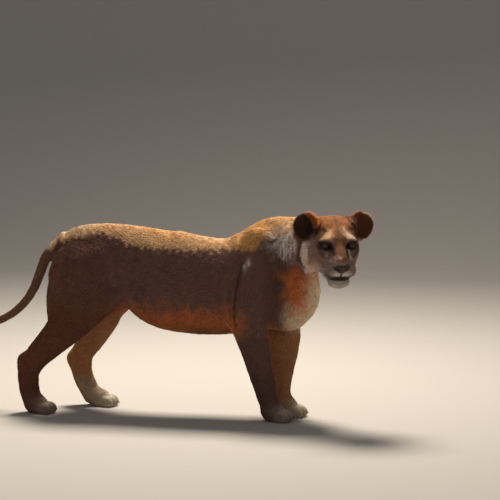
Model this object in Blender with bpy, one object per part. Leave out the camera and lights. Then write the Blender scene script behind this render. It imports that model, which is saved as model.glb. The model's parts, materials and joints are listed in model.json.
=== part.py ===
"""A lioness at life size, standing with her head turned to her right.

She faces +X, her left side is +Y and the ground is z = 0. Her body is one soft shape, melted
together from tapered limbs and egg-shaped muscles. It is turned into closed meshes, thinned, and
then parted into its named pieces by thin flat cuts. The surface is the outside of her coat.
Everything is in metres.
"""

import math

import bmesh
import bpy
import numpy as np

# Body
WITHERS_HEIGHT = 0.985
BACK_DIP_HEIGHT = 0.878
RUMP_HEIGHT = 0.939
BELLY_HEIGHT = 0.404
RIB_HALF_WIDTH = 0.160
LOIN_HALF_WIDTH = 0.116
BREAST_FRONT = 0.318

# Head
HEAD_PLACE = (0.462, -0.190, 0.872)  # the point midway between the eyes
HEAD_YAW = -68.2  # degrees from straight ahead, so to her right
HEAD_PITCH = 13.0  # degrees, nose down
EYE_PLACE = (-0.008, 0.0605, 0.0)  # on the head, for her left eye
EYE_RADIUS = 0.0205
LID_THICKNESS = 0.0035
EAR_HEIGHT = 0.128
EAR_WIDTH = 0.126

# Feet: places on the ground, below the middle of each paw
FORE_PAW_LENGTH = 0.155
FORE_PAW_WIDTH = 0.108
HIND_PAW_LENGTH = 0.150
HIND_PAW_WIDTH = 0.100
TOE_HEIGHT = 0.054
PAW_PLACES = {
    "fore_right": (0.152, -0.073),
    "fore_left": (0.195, 0.062),
    "hind_right": (-1.035, -0.120),
    "hind_left": (-0.785, 0.115),
}

# Parting and meshing
CUT_GAP = 0.0003
COARSE = 4
BODY_STEP = 0.0095
HEAD_STEP = 0.0036
PAW_STEP = 0.0048
BODY_TRIANGLES = 3150
HEAD_TRIANGLES = 1980
PAW_TRIANGLES = 250


# ---------------------------------------------------------------------------------------------
# Soft shapes: each gives a distance-like number at any point, below zero inside
# ---------------------------------------------------------------------------------------------


def turned(yaw=0.0, pitch=0.0, roll=0.0):
    """Axes turned by degrees: roll about x, then pitch about y (front down), then yaw about z."""
    yaw, pitch, roll = np.radians([yaw, pitch, roll])
    about_z = [[math.cos(yaw), -math.sin(yaw), 0], [math.sin(yaw), math.cos(yaw), 0], [0, 0, 1]]
    about_y = [[math.cos(pitch), 0, math.sin(pitch)], [0, 1, 0], [-math.sin(pitch), 0, math.cos(pitch)]]
    about_x = [[1, 0, 0], [0, math.cos(roll), -math.sin(roll)], [0, math.sin(roll), math.cos(roll)]]
    return np.array(about_z) @ np.array(about_y) @ np.array(about_x)


def egg_distance(offsets, radii):
    """Distance-like number from an ellipsoid: k (k - 1) / g, where k is how many times its size away
    the point is and g is the slope of k."""
    size = np.sqrt(((offsets / radii) ** 2).sum(axis=1)) + 1e-9
    slope = np.sqrt(((offsets / radii**2) ** 2).sum(axis=1)) + 1e-9
    return size * (size - 1.0) / slope


def smooth_path(keys, count):
    """Rows of a Catmull-Rom curve through the rows of keys."""
    keys = np.asarray(keys, float)
    around = np.vstack([2 * keys[0] - keys[1], keys, 2 * keys[-1] - keys[-2]])
    place = np.linspace(0, len(keys) - 1 - 1e-9, count)
    index = place.astype(int)
    t = (place - index)[:, None]
    a, b, c, d = (around[index + i] for i in range(4))
    return 0.5 * (2 * b + (c - a) * t + (2 * a - 5 * b + 4 * c - d) * t**2 + (3 * b - a - 3 * c + d) * t**3)


class Shape:
    """What all soft shapes share: the box round them, how softly they melt in, and whether they cut."""

    def bound(self, low, high, reach, melt, cut):
        margin = reach + melt + 0.05
        self.low, self.high = low - margin, high + margin
        self.melt, self.cut = melt, cut


class Egg(Shape):
    """An ellipsoid with its centre, radii and axes."""

    def __init__(self, centre, radii, melt=0.02, axes=None, cut=False):
        self.centre, self.radii = np.array(centre, float), np.array(radii, float)
        self.axes = turned() if axes is None else axes
        self.bound(self.centre, self.centre, self.radii.max(), melt, cut)

    def distance(self, points):
        return egg_distance((points - self.centre) @ self.axes, self.radii)


class Limb(Shape):
    """An oval carried along a smooth path. A key is x, y, z, the radius across, and the radius along
    side, which is the direction that the oval's other axis keeps to."""

    FINE = 12  # rows of the path between two of its coarse points

    def __init__(self, keys, melt=0.02, side=(0, 1, 0), spans=14, cut=False):
        rows = smooth_path(keys, spans * self.FINE + 1)
        self.centres = rows[:, :3]
        along = np.gradient(self.centres, axis=0)
        pace = np.linalg.norm(along, axis=1)[:, None]
        along = along / pace
        side = np.asarray(side, float) - (along @ np.asarray(side, float))[:, None] * along
        side /= np.linalg.norm(side, axis=1)[:, None]
        self.table = np.hstack([rows, along, side, np.cross(along, side), pace])
        self.spans = spans
        self.bound(self.centres.min(axis=0), self.centres.max(axis=0), rows[:, 3:].max(), melt, cut)

    def row(self, place):
        index = np.minimum(place.astype(int), len(self.centres) - 2)
        part = (place - index)[:, None]
        return self.table[index] * (1 - part) + self.table[index + 1] * part

    def distance(self, points):
        nearest = np.full(len(points), np.inf)
        place = np.zeros(len(points))
        coarse = self.centres[:: self.FINE]
        for i in range(self.spans):
            step = coarse[i + 1] - coarse[i]
            t = np.clip((points - coarse[i]) @ step / (step @ step), 0, 1)
            gap = ((points - coarse[i] - t[:, None] * step) ** 2).sum(axis=1)
            closer = gap < nearest
            nearest[closer] = gap[closer]
            place[closer] = (i + t[closer]) * self.FINE
        for _ in range(2):
            row = self.row(place)
            ahead = ((points - row[:, :3]) * row[:, 5:8]).sum(axis=1) / row[:, 14]
            place = np.clip(place + ahead, 0, len(self.centres) - 1)
        row = self.row(place)
        offset = points - row[:, :3]
        axes = (row[:, 11:14], row[:, 8:11], row[:, 5:8])
        offsets = np.stack([(offset * axis).sum(axis=1) for axis in axes], axis=1)
        radii = np.column_stack([row[:, 3], row[:, 4], row[:, 3:5].min(axis=1)])
        return egg_distance(offsets, radii)


class Frame:
    """A place and axes that shapes are given in, such as the head's."""

    def __init__(self, place, axes):
        self.place, self.axes = np.array(place, float), axes

    def point(self, local):
        return self.place + self.axes @ np.array(local, float)

    def egg(self, centre, radii, melt=0.02, yaw=0.0, pitch=0.0, roll=0.0, cut=False):
        return Egg(self.point(centre), radii, melt, self.axes @ turned(yaw, pitch, roll), cut)

    def limb(self, keys, melt=0.02, side=(0, 1, 0), spans=8, cut=False):
        keys = np.array(keys, float)
        keys[:, :3] = self.place + keys[:, :3] @ self.axes.T
        return Limb(keys, melt, self.axes @ np.array(side, float), spans, cut)


def smooth_minimum(a, b, melt):
    """The lower of two numbers, dipped by up to a quarter of melt where they are within melt."""
    near = np.maximum(melt - np.abs(a - b), 0.0)
    return np.minimum(a, b) - near**2 / (4 * melt)


def melted(shapes, points):
    """The field of all the shapes, melted or cut in one after another."""
    field = np.full(len(points), 0.5)
    for shape in shapes:
        inside = np.nonzero(((points > shape.low) & (points < shape.high)).all(axis=1))[0]
        if not len(inside):
            continue
        distance = shape.distance(points[inside])
        if shape.cut:
            field[inside] = -smooth_minimum(-field[inside], distance, shape.melt)
        else:
            field[inside] = smooth_minimum(field[inside], distance, shape.melt)
    return field


# ---------------------------------------------------------------------------------------------
# Anatomy. side is 1 for her left and -1 for her right
# ---------------------------------------------------------------------------------------------


def trunk():
    """Ribs, belly and loins, the breast, and the neck."""
    sections = [  # x, back, belly, half width
        (-0.930, 0.898, 0.642, 0.075),
        (-0.860, 0.930, 0.610, 0.098),
        (-0.770, RUMP_HEIGHT + 0.003, 0.580, 0.110),
        (-0.665, RUMP_HEIGHT + 0.002, 0.552, LOIN_HALF_WIDTH),
        (-0.540, 0.930, 0.500, 0.130),
        (-0.415, 0.918, 0.424, 0.145),
        (-0.280, 0.892, BELLY_HEIGHT - 0.002, 0.157),
        (-0.140, BACK_DIP_HEIGHT, BELLY_HEIGHT, RIB_HALF_WIDTH),
        (0.000, 0.884, 0.425, 0.151),
        (0.120, 0.915, 0.450, 0.137),
        (0.210, 0.925, 0.500, 0.115),
    ]
    keys = [(x, 0, (back + belly) / 2, (back - belly) / 2, half) for x, back, belly, half in sections]
    neck = [
        (0.020, 0.000, WITHERS_HEIGHT - 0.204, 0.138, 0.104),
        (0.120, 0.000, WITHERS_HEIGHT - 0.150, 0.148, 0.108),
        (0.210, -0.010, WITHERS_HEIGHT - 0.133, 0.135, 0.107),
        (0.290, -0.035, WITHERS_HEIGHT - 0.125, 0.125, 0.105),
        (0.360, -0.085, WITHERS_HEIGHT - 0.113, 0.110, 0.100),
    ]
    breast_radii = (0.128, 0.108, 0.185)
    breast = (BREAST_FRONT - breast_radii[0], 0, 0.625)
    return [
        Limb(keys, 0.04, spans=26),
        Egg(breast, breast_radii, 0.06, turned(pitch=-4)),
        Limb(neck, 0.07, spans=10),
    ]


def shoulder(side, elbow):
    """Shoulder blade, upper arm and the muscle behind it, down to the elbow."""
    arm = [
        (0.165, side * 0.102, 0.630, 0.085, 0.050),
        (0.080, side * 0.108, 0.550, 0.080, 0.051),
        (elbow - 0.010, side * 0.105, 0.475, 0.065, 0.048),
    ]
    return [
        Egg((0.075, side * 0.098, 0.762), (0.100, 0.054, 0.176), 0.05, turned(pitch=-14)),
        Limb(arm, 0.04, spans=4),
        Egg((0.005, side * 0.121, 0.605), (0.085, 0.043, 0.135), 0.025, turned(pitch=-8)),
    ]


def paw(place, length, width):
    """The foot's back, its pads and four toes, the middle two ahead of the outer ones."""
    foot = Frame((*place, 0), turned(yaw=-4))
    shapes = [
        foot.egg((-0.13 * length, 0, 0.045), (0.36 * length, 0.40 * width, 0.042), 0.03),
        foot.egg((0, 0, 0.020), (0.40 * length, 0.42 * width, 0.032), 0.02),
    ]
    toe_radii = (0.26 * length, 0.155 * width, TOE_HEIGHT / 2 + 0.003)
    for ahead, across in ((0.17, -0.35), (0.235, -0.125), (0.235, 0.125), (0.17, 0.35)):
        centre = (ahead * length, across * width, TOE_HEIGHT / 2 - 0.003)
        shapes.append(foot.egg(centre, toe_radii, 0.008, yaw=across * 25, pitch=6))
    return shapes


def fore_leg(side):
    """One foreleg from the shoulder blade to the toes. Her left one is a little further forward."""
    if side < 0:
        steps = [(0.000, 0.104), (0.027, 0.101), (0.050, 0.096), (0.068, 0.090), (0.090, 0.082)]
        steps += [(0.102, 0.077), (0.118, 0.073)]
        place = PAW_PLACES["fore_right"]
        fore_and_aft = (0.084, 0.080, 0.071, 0.063, 0.057, 0.051, 0.048)
    else:
        steps = [(0.108, 0.104), (0.140, 0.100), (0.150, 0.092), (0.146, 0.084), (0.138, 0.075)]
        steps += [(0.140, 0.068), (0.158, 0.063)]
        place = PAW_PLACES["fore_left"]
        fore_and_aft = (0.098, 0.094, 0.077, 0.064, 0.056, 0.051, 0.048)
    heights = (0.500, 0.420, 0.335, 0.256, 0.172, 0.115, 0.065)
    across = (0.055, 0.052, 0.047, 0.042, 0.040, 0.041, 0.045)
    keys = [
        (x, side * y, z, a, b) for (x, y), z, a, b in zip(steps, heights, fore_and_aft, across)
    ]
    shapes = shoulder(side, steps[0][0]) + [Limb(keys, 0.03, spans=12)]
    return shapes + paw(place, FORE_PAW_LENGTH, FORE_PAW_WIDTH)


def hind_leg(side):
    """One hind leg from the hip to the toes. Her right one is set well back, her left one forward."""
    y = side * abs(PAW_PLACES["hind_right" if side < 0 else "hind_left"][1])
    if side < 0:
        hip, knee = (-0.840, 0.740), (-0.765, 0.535)
        shank = [(-0.790, 0.545), (-0.868, 0.462), (-0.950, 0.385), (-1.026, 0.310), (-1.082, 0.250)]
        foot = [(-1.084, 0.252), (-1.099, 0.200), (-1.098, 0.140), (-1.089, 0.090), (-1.072, 0.050)]
        ham, ham_end, ham_reach, ham_lean = -0.908, 0.370, 0.232, turned(pitch=9)
        heel = (-1.116, 0.254)
        shank_radii = [(0.105, 0.062), (0.094, 0.055), (0.082, 0.048), (0.068, 0.041), (0.060, 0.036)]
        place = PAW_PLACES["hind_right"]
    else:
        hip, knee = (-0.835, 0.740), (-0.732, 0.530)
        shank = [(-0.748, 0.535), (-0.785, 0.445), (-0.838, 0.350), (-0.890, 0.275), (-0.906, 0.235)]
        foot = [(-0.905, 0.240), (-0.902, 0.195), (-0.890, 0.145), (-0.870, 0.100), (-0.845, 0.055)]
        ham, ham_end, ham_reach, ham_lean = -0.874, 0.450, 0.192, turned(pitch=-6, roll=8)
        heel = (-0.936, 0.236)
        shank_radii = [(0.094, 0.062), (0.082, 0.054), (0.068, 0.046), (0.059, 0.039), (0.057, 0.036)]
        place = PAW_PLACES["hind_left"]
    foot_radii = [(0.057, 0.036), (0.056, 0.035), (0.053, 0.035), (0.051, 0.038), (0.047, 0.042)]
    thigh = [
        (hip[0], side * 0.074, hip[1], 0.155, 0.074),
        ((hip[0] + knee[0]) / 2, side * 0.094, 0.640, 0.135, 0.067),
        (knee[0], side * 0.110, knee[1], 0.095, 0.055),
    ]
    flank = [
        (-0.700, side * 0.112, 0.560, 0.050, 0.030),
        (-0.600, side * 0.108, 0.575, 0.045, 0.028),
        (-0.500, side * 0.120, 0.590, 0.050, 0.025),
    ]
    ham_middle = (ham, side * 0.072, ham_end + ham_reach)
    spread = np.linspace(side * 0.110, y, len(shank))
    shank_keys = [(x, across, z, *radii) for (x, z), across, radii in zip(shank, spread, shank_radii)]
    shapes = [
        Limb(thigh, 0.05, spans=5),
        Egg(ham_middle, (0.104, 0.062, ham_reach), 0.05, ham_lean),
        Limb(shank_keys, 0.04, spans=10),
        Limb([(x, y, z, *radii) for (x, z), radii in zip(foot, foot_radii)], 0.02, spans=8),
        Egg((heel[0], y, heel[1]), (0.034, 0.026, 0.038), 0.035),
        Limb(flank, 0.06, spans=5),
    ]
    return shapes + paw(place, HIND_PAW_LENGTH, HIND_PAW_WIDTH)


TAIL_KEYS = [  # x, y, z, radius
    (-0.935, 0.000, 0.834, 0.046),
    (-0.998, 0.000, 0.800, 0.038),
    (-1.045, 0.002, 0.755, 0.029),
    (-1.078, 0.004, 0.680, 0.0265),
    (-1.108, 0.006, 0.610, 0.025),
    (-1.155, 0.008, 0.540, 0.0235),
    (-1.220, 0.010, 0.480, 0.022),
    (-1.300, 0.012, 0.437, 0.021),
    (-1.390, 0.012, 0.413, 0.020),
    (-1.470, 0.012, 0.413, 0.020),
]
TUFT_KEYS = [
    (-1.460, 0.012, 0.412, 0.020),
    (-1.530, 0.012, 0.430, 0.030),
    (-1.585, 0.010, 0.465, 0.034),
    (-1.625, 0.008, 0.515, 0.024),
    (-1.642, 0.006, 0.560, 0.008),
]


def tail():
    """The tail, hanging down and back and then level, and its tuft turned up."""
    all_keys = (TAIL_KEYS, TUFT_KEYS)
    round_keys = [[(x, y, z, radius, radius) for x, y, z, radius in keys] for keys in all_keys]
    return [Limb(round_keys[0], 0.03, spans=26), Limb(round_keys[1], 0.015, spans=10)]


HEAD_FRAME = Frame(HEAD_PLACE, turned(HEAD_YAW, HEAD_PITCH))


def skull():
    """Crown, brow, bridge of the nose, cheeks, jaw muscles and the ruff behind them."""
    head = HEAD_FRAME
    bridge = [
        (-0.030, 0, 0.004, 0.036, 0.040),
        (0.030, 0, -0.020, 0.033, 0.033),
        (0.070, 0, -0.047, 0.027, 0.030),
        (0.086, 0, -0.060, 0.020, 0.026),
    ]
    shapes = [
        head.egg((-0.110, 0, 0.014), (0.112, 0.102, 0.092), 0.03),
        head.egg((-0.040, 0, 0.014), (0.060, 0.076, 0.047), 0.03),
        head.limb(bridge, 0.03),
    ]
    for side in (-1, 1):
        ruff = 0.092 if side < 0 else 0.073  # the turned neck pushes her right ruff out
        shapes += [
            head.egg((-0.038, side * 0.066, -0.028), (0.064, 0.040, 0.044), 0.03),
            head.egg((-0.098, side * 0.073, -0.050), (0.080, 0.040, 0.085), 0.03),
            head.egg((-0.118, side * ruff, -0.098), (0.060, 0.49 * ruff, 0.070), 0.04),
            head.egg((0.004, side * 0.052, -0.066), (0.050, 0.032, 0.048), 0.03),
            head.egg((-0.100, side * 0.062, 0.066), (0.055, 0.042, 0.034), 0.03),
            head.egg((-0.008, side * 0.052, 0.028), (0.024, 0.034, 0.014), 0.020, roll=-side * 10),
        ]
    return shapes


def muzzle():
    """Upper jaw, whisker pads, chin, lower jaw and nose, with the line of the mouth cut in."""
    head = HEAD_FRAME
    upper = [
        (-0.060, 0, -0.085, 0.075, 0.085),
        (-0.010, 0, -0.085, 0.065, 0.070),
        (0.045, 0, -0.095, 0.048, 0.058),
    ]
    lower = [
        (-0.070, 0, -0.125, 0.050, 0.075),
        (-0.010, 0, -0.145, 0.038, 0.060),
        (0.048, 0, -0.156, 0.030, 0.046),
    ]
    shapes = [head.limb(upper, 0.03)]
    shapes += [head.egg((0.052, side * 0.036, -0.105), (0.044, 0.042, 0.036), 0.018) for side in (-1, 1)]
    shapes += [
        head.limb(lower, 0.025),
        head.egg((0.050, 0, -0.166), (0.032, 0.050, 0.028), 0.015),
        head.egg((0.088, 0, -0.079), (0.018, 0.036, 0.020), 0.008, pitch=20),
    ]
    corners = [(0.014, 0.082, -0.135), (0.068, 0.058, -0.142)]
    line = [(x, -y, z, 0.007, 0.006) for x, y, z in corners] + [(0.100, 0, -0.141, 0.007, 0.006)]
    line += [(x, y, z, 0.007, 0.006) for x, y, z in reversed(corners)]
    shapes.append(head.limb(line, 0.006, side=(0, 0, 1), spans=10, cut=True))
    return shapes


def lids():
    """For each eye a soft socket, the lids round the eyeball, and the slit between them."""
    shapes = []
    for side in (-1, 1):
        x, y, z = EYE_PLACE[0], side * EYE_PLACE[1], EYE_PLACE[2]
        round_lid = (EYE_RADIUS + LID_THICKNESS,) * 3
        socket = (x + 0.016, y + side * 0.003, z)
        slit = (x + 0.020, y + side * 0.006, z)
        shapes += [
            HEAD_FRAME.egg(socket, (0.020, 0.030, 0.019), 0.016, side * 24, 0, -side * 8, True),
            HEAD_FRAME.egg((x, y, z), round_lid, 0.006),
            HEAD_FRAME.egg(slit, (0.022, 0.0225, 0.0066), 0.003, side * 22, 0, side * 15, True),
        ]
    return shapes


def ear(side):
    """A round ear: an egg on a thick root, hollowed from the front."""
    place = HEAD_FRAME.point((-0.118, side * 0.131, 0.055))
    yaw = 12 if side > 0 else -32  # her left ear is turned forward
    frame = Frame(place, HEAD_FRAME.axes @ turned(yaw, -6, -side * 24))
    hollow = (0.040, EAR_WIDTH / 2 - 0.010, EAR_HEIGHT / 2 - 0.010)
    return [
        frame.egg((0, 0, 0), (0.034, EAR_WIDTH / 2, EAR_HEIGHT / 2), 0.012),
        frame.egg((-0.012, -side * 0.012, -0.045), (0.034, 0.042, 0.040), 0.03),
        frame.egg((0.024, 0, 0.004), hollow, 0.006, cut=True),
    ]


def lioness():
    """All the shapes, in the order in which they melt together."""
    shapes = trunk() + fore_leg(-1) + fore_leg(1) + hind_leg(-1) + hind_leg(1) + tail()
    return shapes + skull() + muzzle() + lids() + ear(-1) + ear(1)


# ---------------------------------------------------------------------------------------------
# Meshing: the field is sampled on a grid, and its zero surface is skinned with quads
# ---------------------------------------------------------------------------------------------


def sampled(shapes, axes):
    """The field on a grid. It's worked out on every fourth grid line and filled in between, and then
    worked out again at each point that may be near the surface."""
    coarse_axes = [axis[::COARSE] for axis in axes]
    grid = np.stack(np.meshgrid(*coarse_axes, indexing="ij"), axis=-1)
    field = melted(shapes, grid.reshape(-1, 3)).reshape(grid.shape[:3])
    for k in range(3):
        line = np.arange(len(axes[k]))
        before = np.minimum(line // COARSE, len(coarse_axes[k]) - 2)
        part = (line / COARSE - before).reshape([-1 if m == k else 1 for m in range(3)])
        field = np.take(field, before, k) * (1 - part) + np.take(field, before + 1, k) * part
    near = np.nonzero(np.abs(field) < 1.3 * COARSE * (axes[0][1] - axes[0][0]))
    points = np.stack([axes[k][near[k]] for k in range(3)], axis=1)
    field[near] = melted(shapes, points)
    return field


def zero_surface(shapes, low, high, step):
    """Points and quads of the surface inside a box: one point in each grid cell that the surface
    crosses, at the mean of where it crosses the cell's edges, and one quad across each crossed edge."""
    counts = [COARSE * math.ceil((high[k] - low[k]) / (step * COARSE)) + 1 for k in range(3)]
    axes = [low[k] + step * np.arange(counts[k]) for k in range(3)]
    field = sampled(shapes, axes)
    for k in range(3):
        for end in (0, -1):
            np.moveaxis(field, k, 0)[end] = step  # closes the surface at the box's sides
    fill_corner_contacts(field, 0.1 * step)
    inside = field < 0
    cell_counts = tuple(size - 1 for size in field.shape)
    corners = np.zeros(cell_counts, int)
    for i, j, k in np.ndindex(2, 2, 2):
        corners += inside[i : i + cell_counts[0], j : j + cell_counts[1], k : k + cell_counts[2]]
    crossed = (corners > 0) & (corners < 8)
    cells = np.argwhere(crossed)
    number = np.full(cell_counts, -1)
    number[crossed] = np.arange(len(cells))
    total, count = np.zeros((len(cells), 3)), np.zeros(len(cells))
    quads = []
    for axis in range(3):
        across = [k for k in range(3) if k != axis]
        for u, v in np.ndindex(2, 2):
            start = np.zeros(3, int)
            start[across] = (u, v)
            first, second = cells + start, cells + start + np.eye(3, dtype=int)[axis]
            a, b = field[tuple(first.T)], field[tuple(second.T)]
            crosses = (a < 0) != (b < 0)
            place = np.tile(start.astype(float), (len(cells), 1))
            place[:, axis] = a / np.where(crosses, a - b, 1)
            total += place * crosses[:, None]
            count += crosses
        quads.append(quads_across(inside, number, axis))
    points = np.array(low) + (cells + total / count[:, None]) * step
    return points, np.vstack(quads)


def fill_corner_contacts(field, depth):
    """Where only two opposite corners of a grid square are inside, two sheets of the surface would
    share an edge. All four corners are put inside there, which joins them."""
    for _ in range(3):
        for axis in range(3):
            layers = np.moveaxis(field, axis, 0)
            rows, columns = layers.shape[1] - 1, layers.shape[2] - 1
            square = [layers[:, i : rows + i, j : columns + j] for i, j in np.ndindex(2, 2)]
            a, b, c, d = [corner < 0 for corner in square]
            contact = (a == d) & (b == c) & (a != b)
            for corner in square:
                corner[contact] = np.minimum(corner[contact], -depth)


def quads_across(inside, number, axis):
    """The quads round the grid edges that run along axis and cross the surface, facing outwards."""
    before, after = [slice(None)] * 3, [slice(None)] * 3
    before[axis], after[axis] = slice(0, -1), slice(1, None)
    edges = np.argwhere(inside[tuple(before)] != inside[tuple(after)])
    u, v = (axis + 1) % 3, (axis + 2) % 3
    within = [(edges[:, k] > 0) & (edges[:, k] < inside.shape[k] - 1) for k in (u, v)]
    edges = edges[within[0] & within[1]]
    ring = []
    for du, dv in ((1, 1), (0, 1), (0, 0), (1, 0)):
        cell = edges.copy()
        cell[:, u] -= du
        cell[:, v] -= dv
        ring.append(number[tuple(cell.T)])
    quads = np.stack(ring, axis=1)
    turned_round = ~inside[tuple(edges.T)]
    quads[turned_round] = quads[turned_round][:, ::-1]
    return quads


def blank(name, shapes, low, high, step, triangles):
    """A mesh of the surface inside a box, thinned to about this many triangles. It's the stock that
    pieces are parted from, and isn't a piece itself."""
    points, quads = zero_surface(shapes, low, high, step)
    mesh = bpy.data.meshes.new(name)
    mesh.from_pydata(points.tolist(), [], quads.tolist())
    stock = in_scene(name, mesh)
    thin = stock.modifiers.new("thin", "DECIMATE")
    thin.ratio = triangles / (2 * len(quads))
    return evaluated_copy(stock, name)


def material(name, colour, roughness):
    found = bpy.data.materials.get(name)
    if found:
        return found
    made = bpy.data.materials.new(name)
    made.use_nodes = True
    shader = made.node_tree.nodes["Principled BSDF"]
    shader.inputs["Base Color"].default_value = (*colour, 1)
    shader.inputs["Roughness"].default_value = roughness
    shader.inputs["Metallic"].default_value = 0.0
    return made


def convex_block(planes):
    """A closed block, much larger than she is, with everything beyond each plane cut off. A gap is
    left at every plane but the ground."""
    shape = bmesh.new()
    bmesh.ops.create_cube(shape, size=8.0)
    for point, away in planes:
        away = np.array(away, float) / np.linalg.norm(away)
        back = 0.0 if point == GROUND[0] else CUT_GAP / 2
        everything = shape.verts[:] + shape.edges[:] + shape.faces[:]
        place = np.array(point) - back * away
        cut = bmesh.ops.bisect_plane(
            shape, geom=everything, dist=1e-7, plane_co=place, plane_no=away, clear_outer=True
        )
        edges = [part for part in cut["geom_cut"] if isinstance(part, bmesh.types.BMEdge)]
        bmesh.ops.holes_fill(shape, edges=edges, sides=0)
    bmesh.ops.recalc_face_normals(shape, faces=shape.faces[:])
    mesh = bpy.data.meshes.new("block")
    shape.to_mesh(mesh)
    shape.free()
    return mesh


def evaluated_copy(piece, name):
    """A mesh of the object with its modifiers applied; the object is removed."""
    graph = bpy.context.evaluated_depsgraph_get()
    mesh = bpy.data.meshes.new_from_object(piece.evaluated_get(graph))
    mesh.name = name
    bpy.data.objects.remove(piece)
    return mesh


def in_scene(name, mesh):
    made = bpy.data.objects.new(name, mesh)
    bpy.context.scene.collection.objects.link(made)
    return made


def parted(name, stock, planes, finish):
    """The piece of a stock mesh that lies inside a block with these flat sides."""
    block = in_scene("block", convex_block(planes))
    rough = in_scene(name, stock)
    common = rough.modifiers.new("part", "BOOLEAN")
    common.operation = "INTERSECT"
    common.solver = "EXACT"
    common.object = block
    mesh = evaluated_copy(rough, name)
    bpy.data.objects.remove(block)
    mesh.materials.clear()
    mesh.materials.append(finish)
    mesh.shade_smooth()
    mesh.set_sharp_from_angle(angle=math.radians(50))
    return in_scene(name, mesh)


# ---------------------------------------------------------------------------------------------
# Cuts: each is a point and the direction that it cuts away
# ---------------------------------------------------------------------------------------------

GROUND = ((0.0, 0.0, 0.0), (0, 0, -1))
NAPE = ((-0.210, 0, 0), (-0.95, -0.31, 0))  # on the head, askew because the neck is bent
COLLAR = ((0.250, 0, 0.810), (-0.62, 0, -0.78))
CHEST_BACK = -0.100
LOIN_FRONT = -0.500
TAIL_ROOT = ((-0.990, 0, 0.830), (-0.97, 0, 0.25))
TAIL_JOINTS = (2.6, 4.6, 6.5, 8.5)  # places along TAIL_KEYS


def turned_round(plane):
    """The same cut, with its other side kept."""
    point, away = plane
    return point, tuple(-part for part in away)


def on_head(point, direction):
    """A cut given in the head's own frame."""
    return tuple(HEAD_FRAME.point(point)), tuple(HEAD_FRAME.axes @ np.array(direction, float))


def leg_pit(side, height, slope):
    """The slanting cut that parts a leg from the trunk: low between the legs, high on the flank."""
    return (0, side * 0.030, height), (0, side, -slope)


def cut_head(head, body, finishes):
    """Head, jaw, nose and ears from the fine stock, and the neck from the coarse one."""
    coat, pale_coat, nose_skin = finishes
    nape = on_head(*NAPE)
    mouth = on_head((0.050, 0, -0.141), (0.13, 0, -1))
    nose_face = on_head((0.094, 0, -0.070), (1, 0, 0.1))
    ear_roots = [on_head((-0.112, side * 0.100, 0.051), (-0.1, side * 0.7, 0.7)) for side in (-1, 1)]
    whole = [nape, COLLAR]
    pieces = [
        parted("head", head, whole + ear_roots + [mouth, nose_face], coat),
        parted("lower_jaw", head, whole + [turned_round(mouth)], pale_coat),
        parted("nose", head, whole + [mouth, turned_round(nose_face)], nose_skin),
        parted("neck", body, [turned_round(nape), COLLAR], coat),
    ]
    for name, root in zip(("ear_right", "ear_left"), ear_roots):
        pieces.append(parted(name, head, whole + [turned_round(root)], coat))
    return pieces


def cut_trunk(body, coat):
    """Chest, belly and hips, without the legs, the neck and the tail."""
    arm_pits = [leg_pit(side, 0.430, 0.68) for side in (-1, 1)]
    groins = [leg_pit(side, 0.490, 0.75) for side in (-1, 1)]
    back_of_chest, front_of_loin = ((CHEST_BACK, 0, 0), (-1, 0, 0)), ((LOIN_FRONT, 0, 0), (1, 0, 0))
    return [
        parted("chest", body, [turned_round(COLLAR), back_of_chest] + arm_pits, coat),
        parted("belly", body, [turned_round(back_of_chest), turned_round(front_of_loin)], coat),
        parted("hips", body, [front_of_loin, TAIL_ROOT] + groins, coat),
    ]


def cut_fore_leg(side, body, paw_stock, coat):
    """Upper leg, forearm and paw."""
    name = "fore_left" if side > 0 else "fore_right"
    half = ((0, 0, 0), (0, -side, 0))
    above = [
        half,
        ((CHEST_BACK, 0, 0), (-1, 0, 0)),
        turned_round(COLLAR),
        turned_round(leg_pit(side, 0.430, 0.68)),
    ]
    elbow = ((0, 0, 0.385), (0, 0, -1))
    wrist = ((0, 0, 0.120), (-0.15, 0, -1))
    return [
        parted(name + "_upper", body, above + [elbow], coat),
        parted(name + "_forearm", body, above[:2] + [turned_round(elbow), wrist], coat),
        parted(name + "_paw", paw_stock, above[:2] + [turned_round(wrist), GROUND], coat),
    ]


def cut_hind_leg(side, body, paw_stock, coat):
    """Thigh, shank, foot and paw."""
    name = "hind_left" if side > 0 else "hind_right"
    half = ((0, 0, 0), (0, -side, 0))
    inner_side = ((0, side * 0.050, 0), (0, -side, 0))
    groin = turned_round(leg_pit(side, 0.490, 0.75))
    loin = ((LOIN_FRONT, 0, 0), (1, 0, 0))
    knee = ((-0.900 if side < 0 else -0.780, 0, 0.440), (-0.6, 0, -1))
    hock = ((-1.090 if side < 0 else -0.905, 0, 0.225), (-0.1, 0, -1))
    ankle = ((0, 0, 0.085), (0, 0, -1))
    return [
        parted(name + "_thigh", body, [half, groin, loin, knee], coat),
        parted(name + "_shank", body, [inner_side, groin, loin, turned_round(knee), hock], coat),
        parted(name + "_foot", body, [inner_side, loin, turned_round(hock), ankle], coat),
        parted(name + "_paw", paw_stock, [inner_side, loin, turned_round(ankle), GROUND], coat),
    ]


def cut_tail(body, coat, tuft_coat):
    """Four lengths and the tuft, parted square across."""
    path = smooth_path([key[:3] for key in TAIL_KEYS], 1 + 10 * (len(TAIL_KEYS) - 1))
    before = []
    pieces = []
    behind = [turned_round(TAIL_ROOT), ((0, -0.050, 0), (0, -1, 0)), ((0, 0.060, 0), (0, 1, 0))]
    for number, joint in enumerate(TAIL_JOINTS, start=1):
        row = int(10 * joint)
        across = (tuple(path[row]), tuple(path[row + 1] - path[row]))
        pieces.append(parted(f"tail_{number}", body, behind + before + [across], coat))
        before = [turned_round(across)]
    pieces.append(parted("tail_tuft", body, behind + before, tuft_coat))
    return pieces


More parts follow.
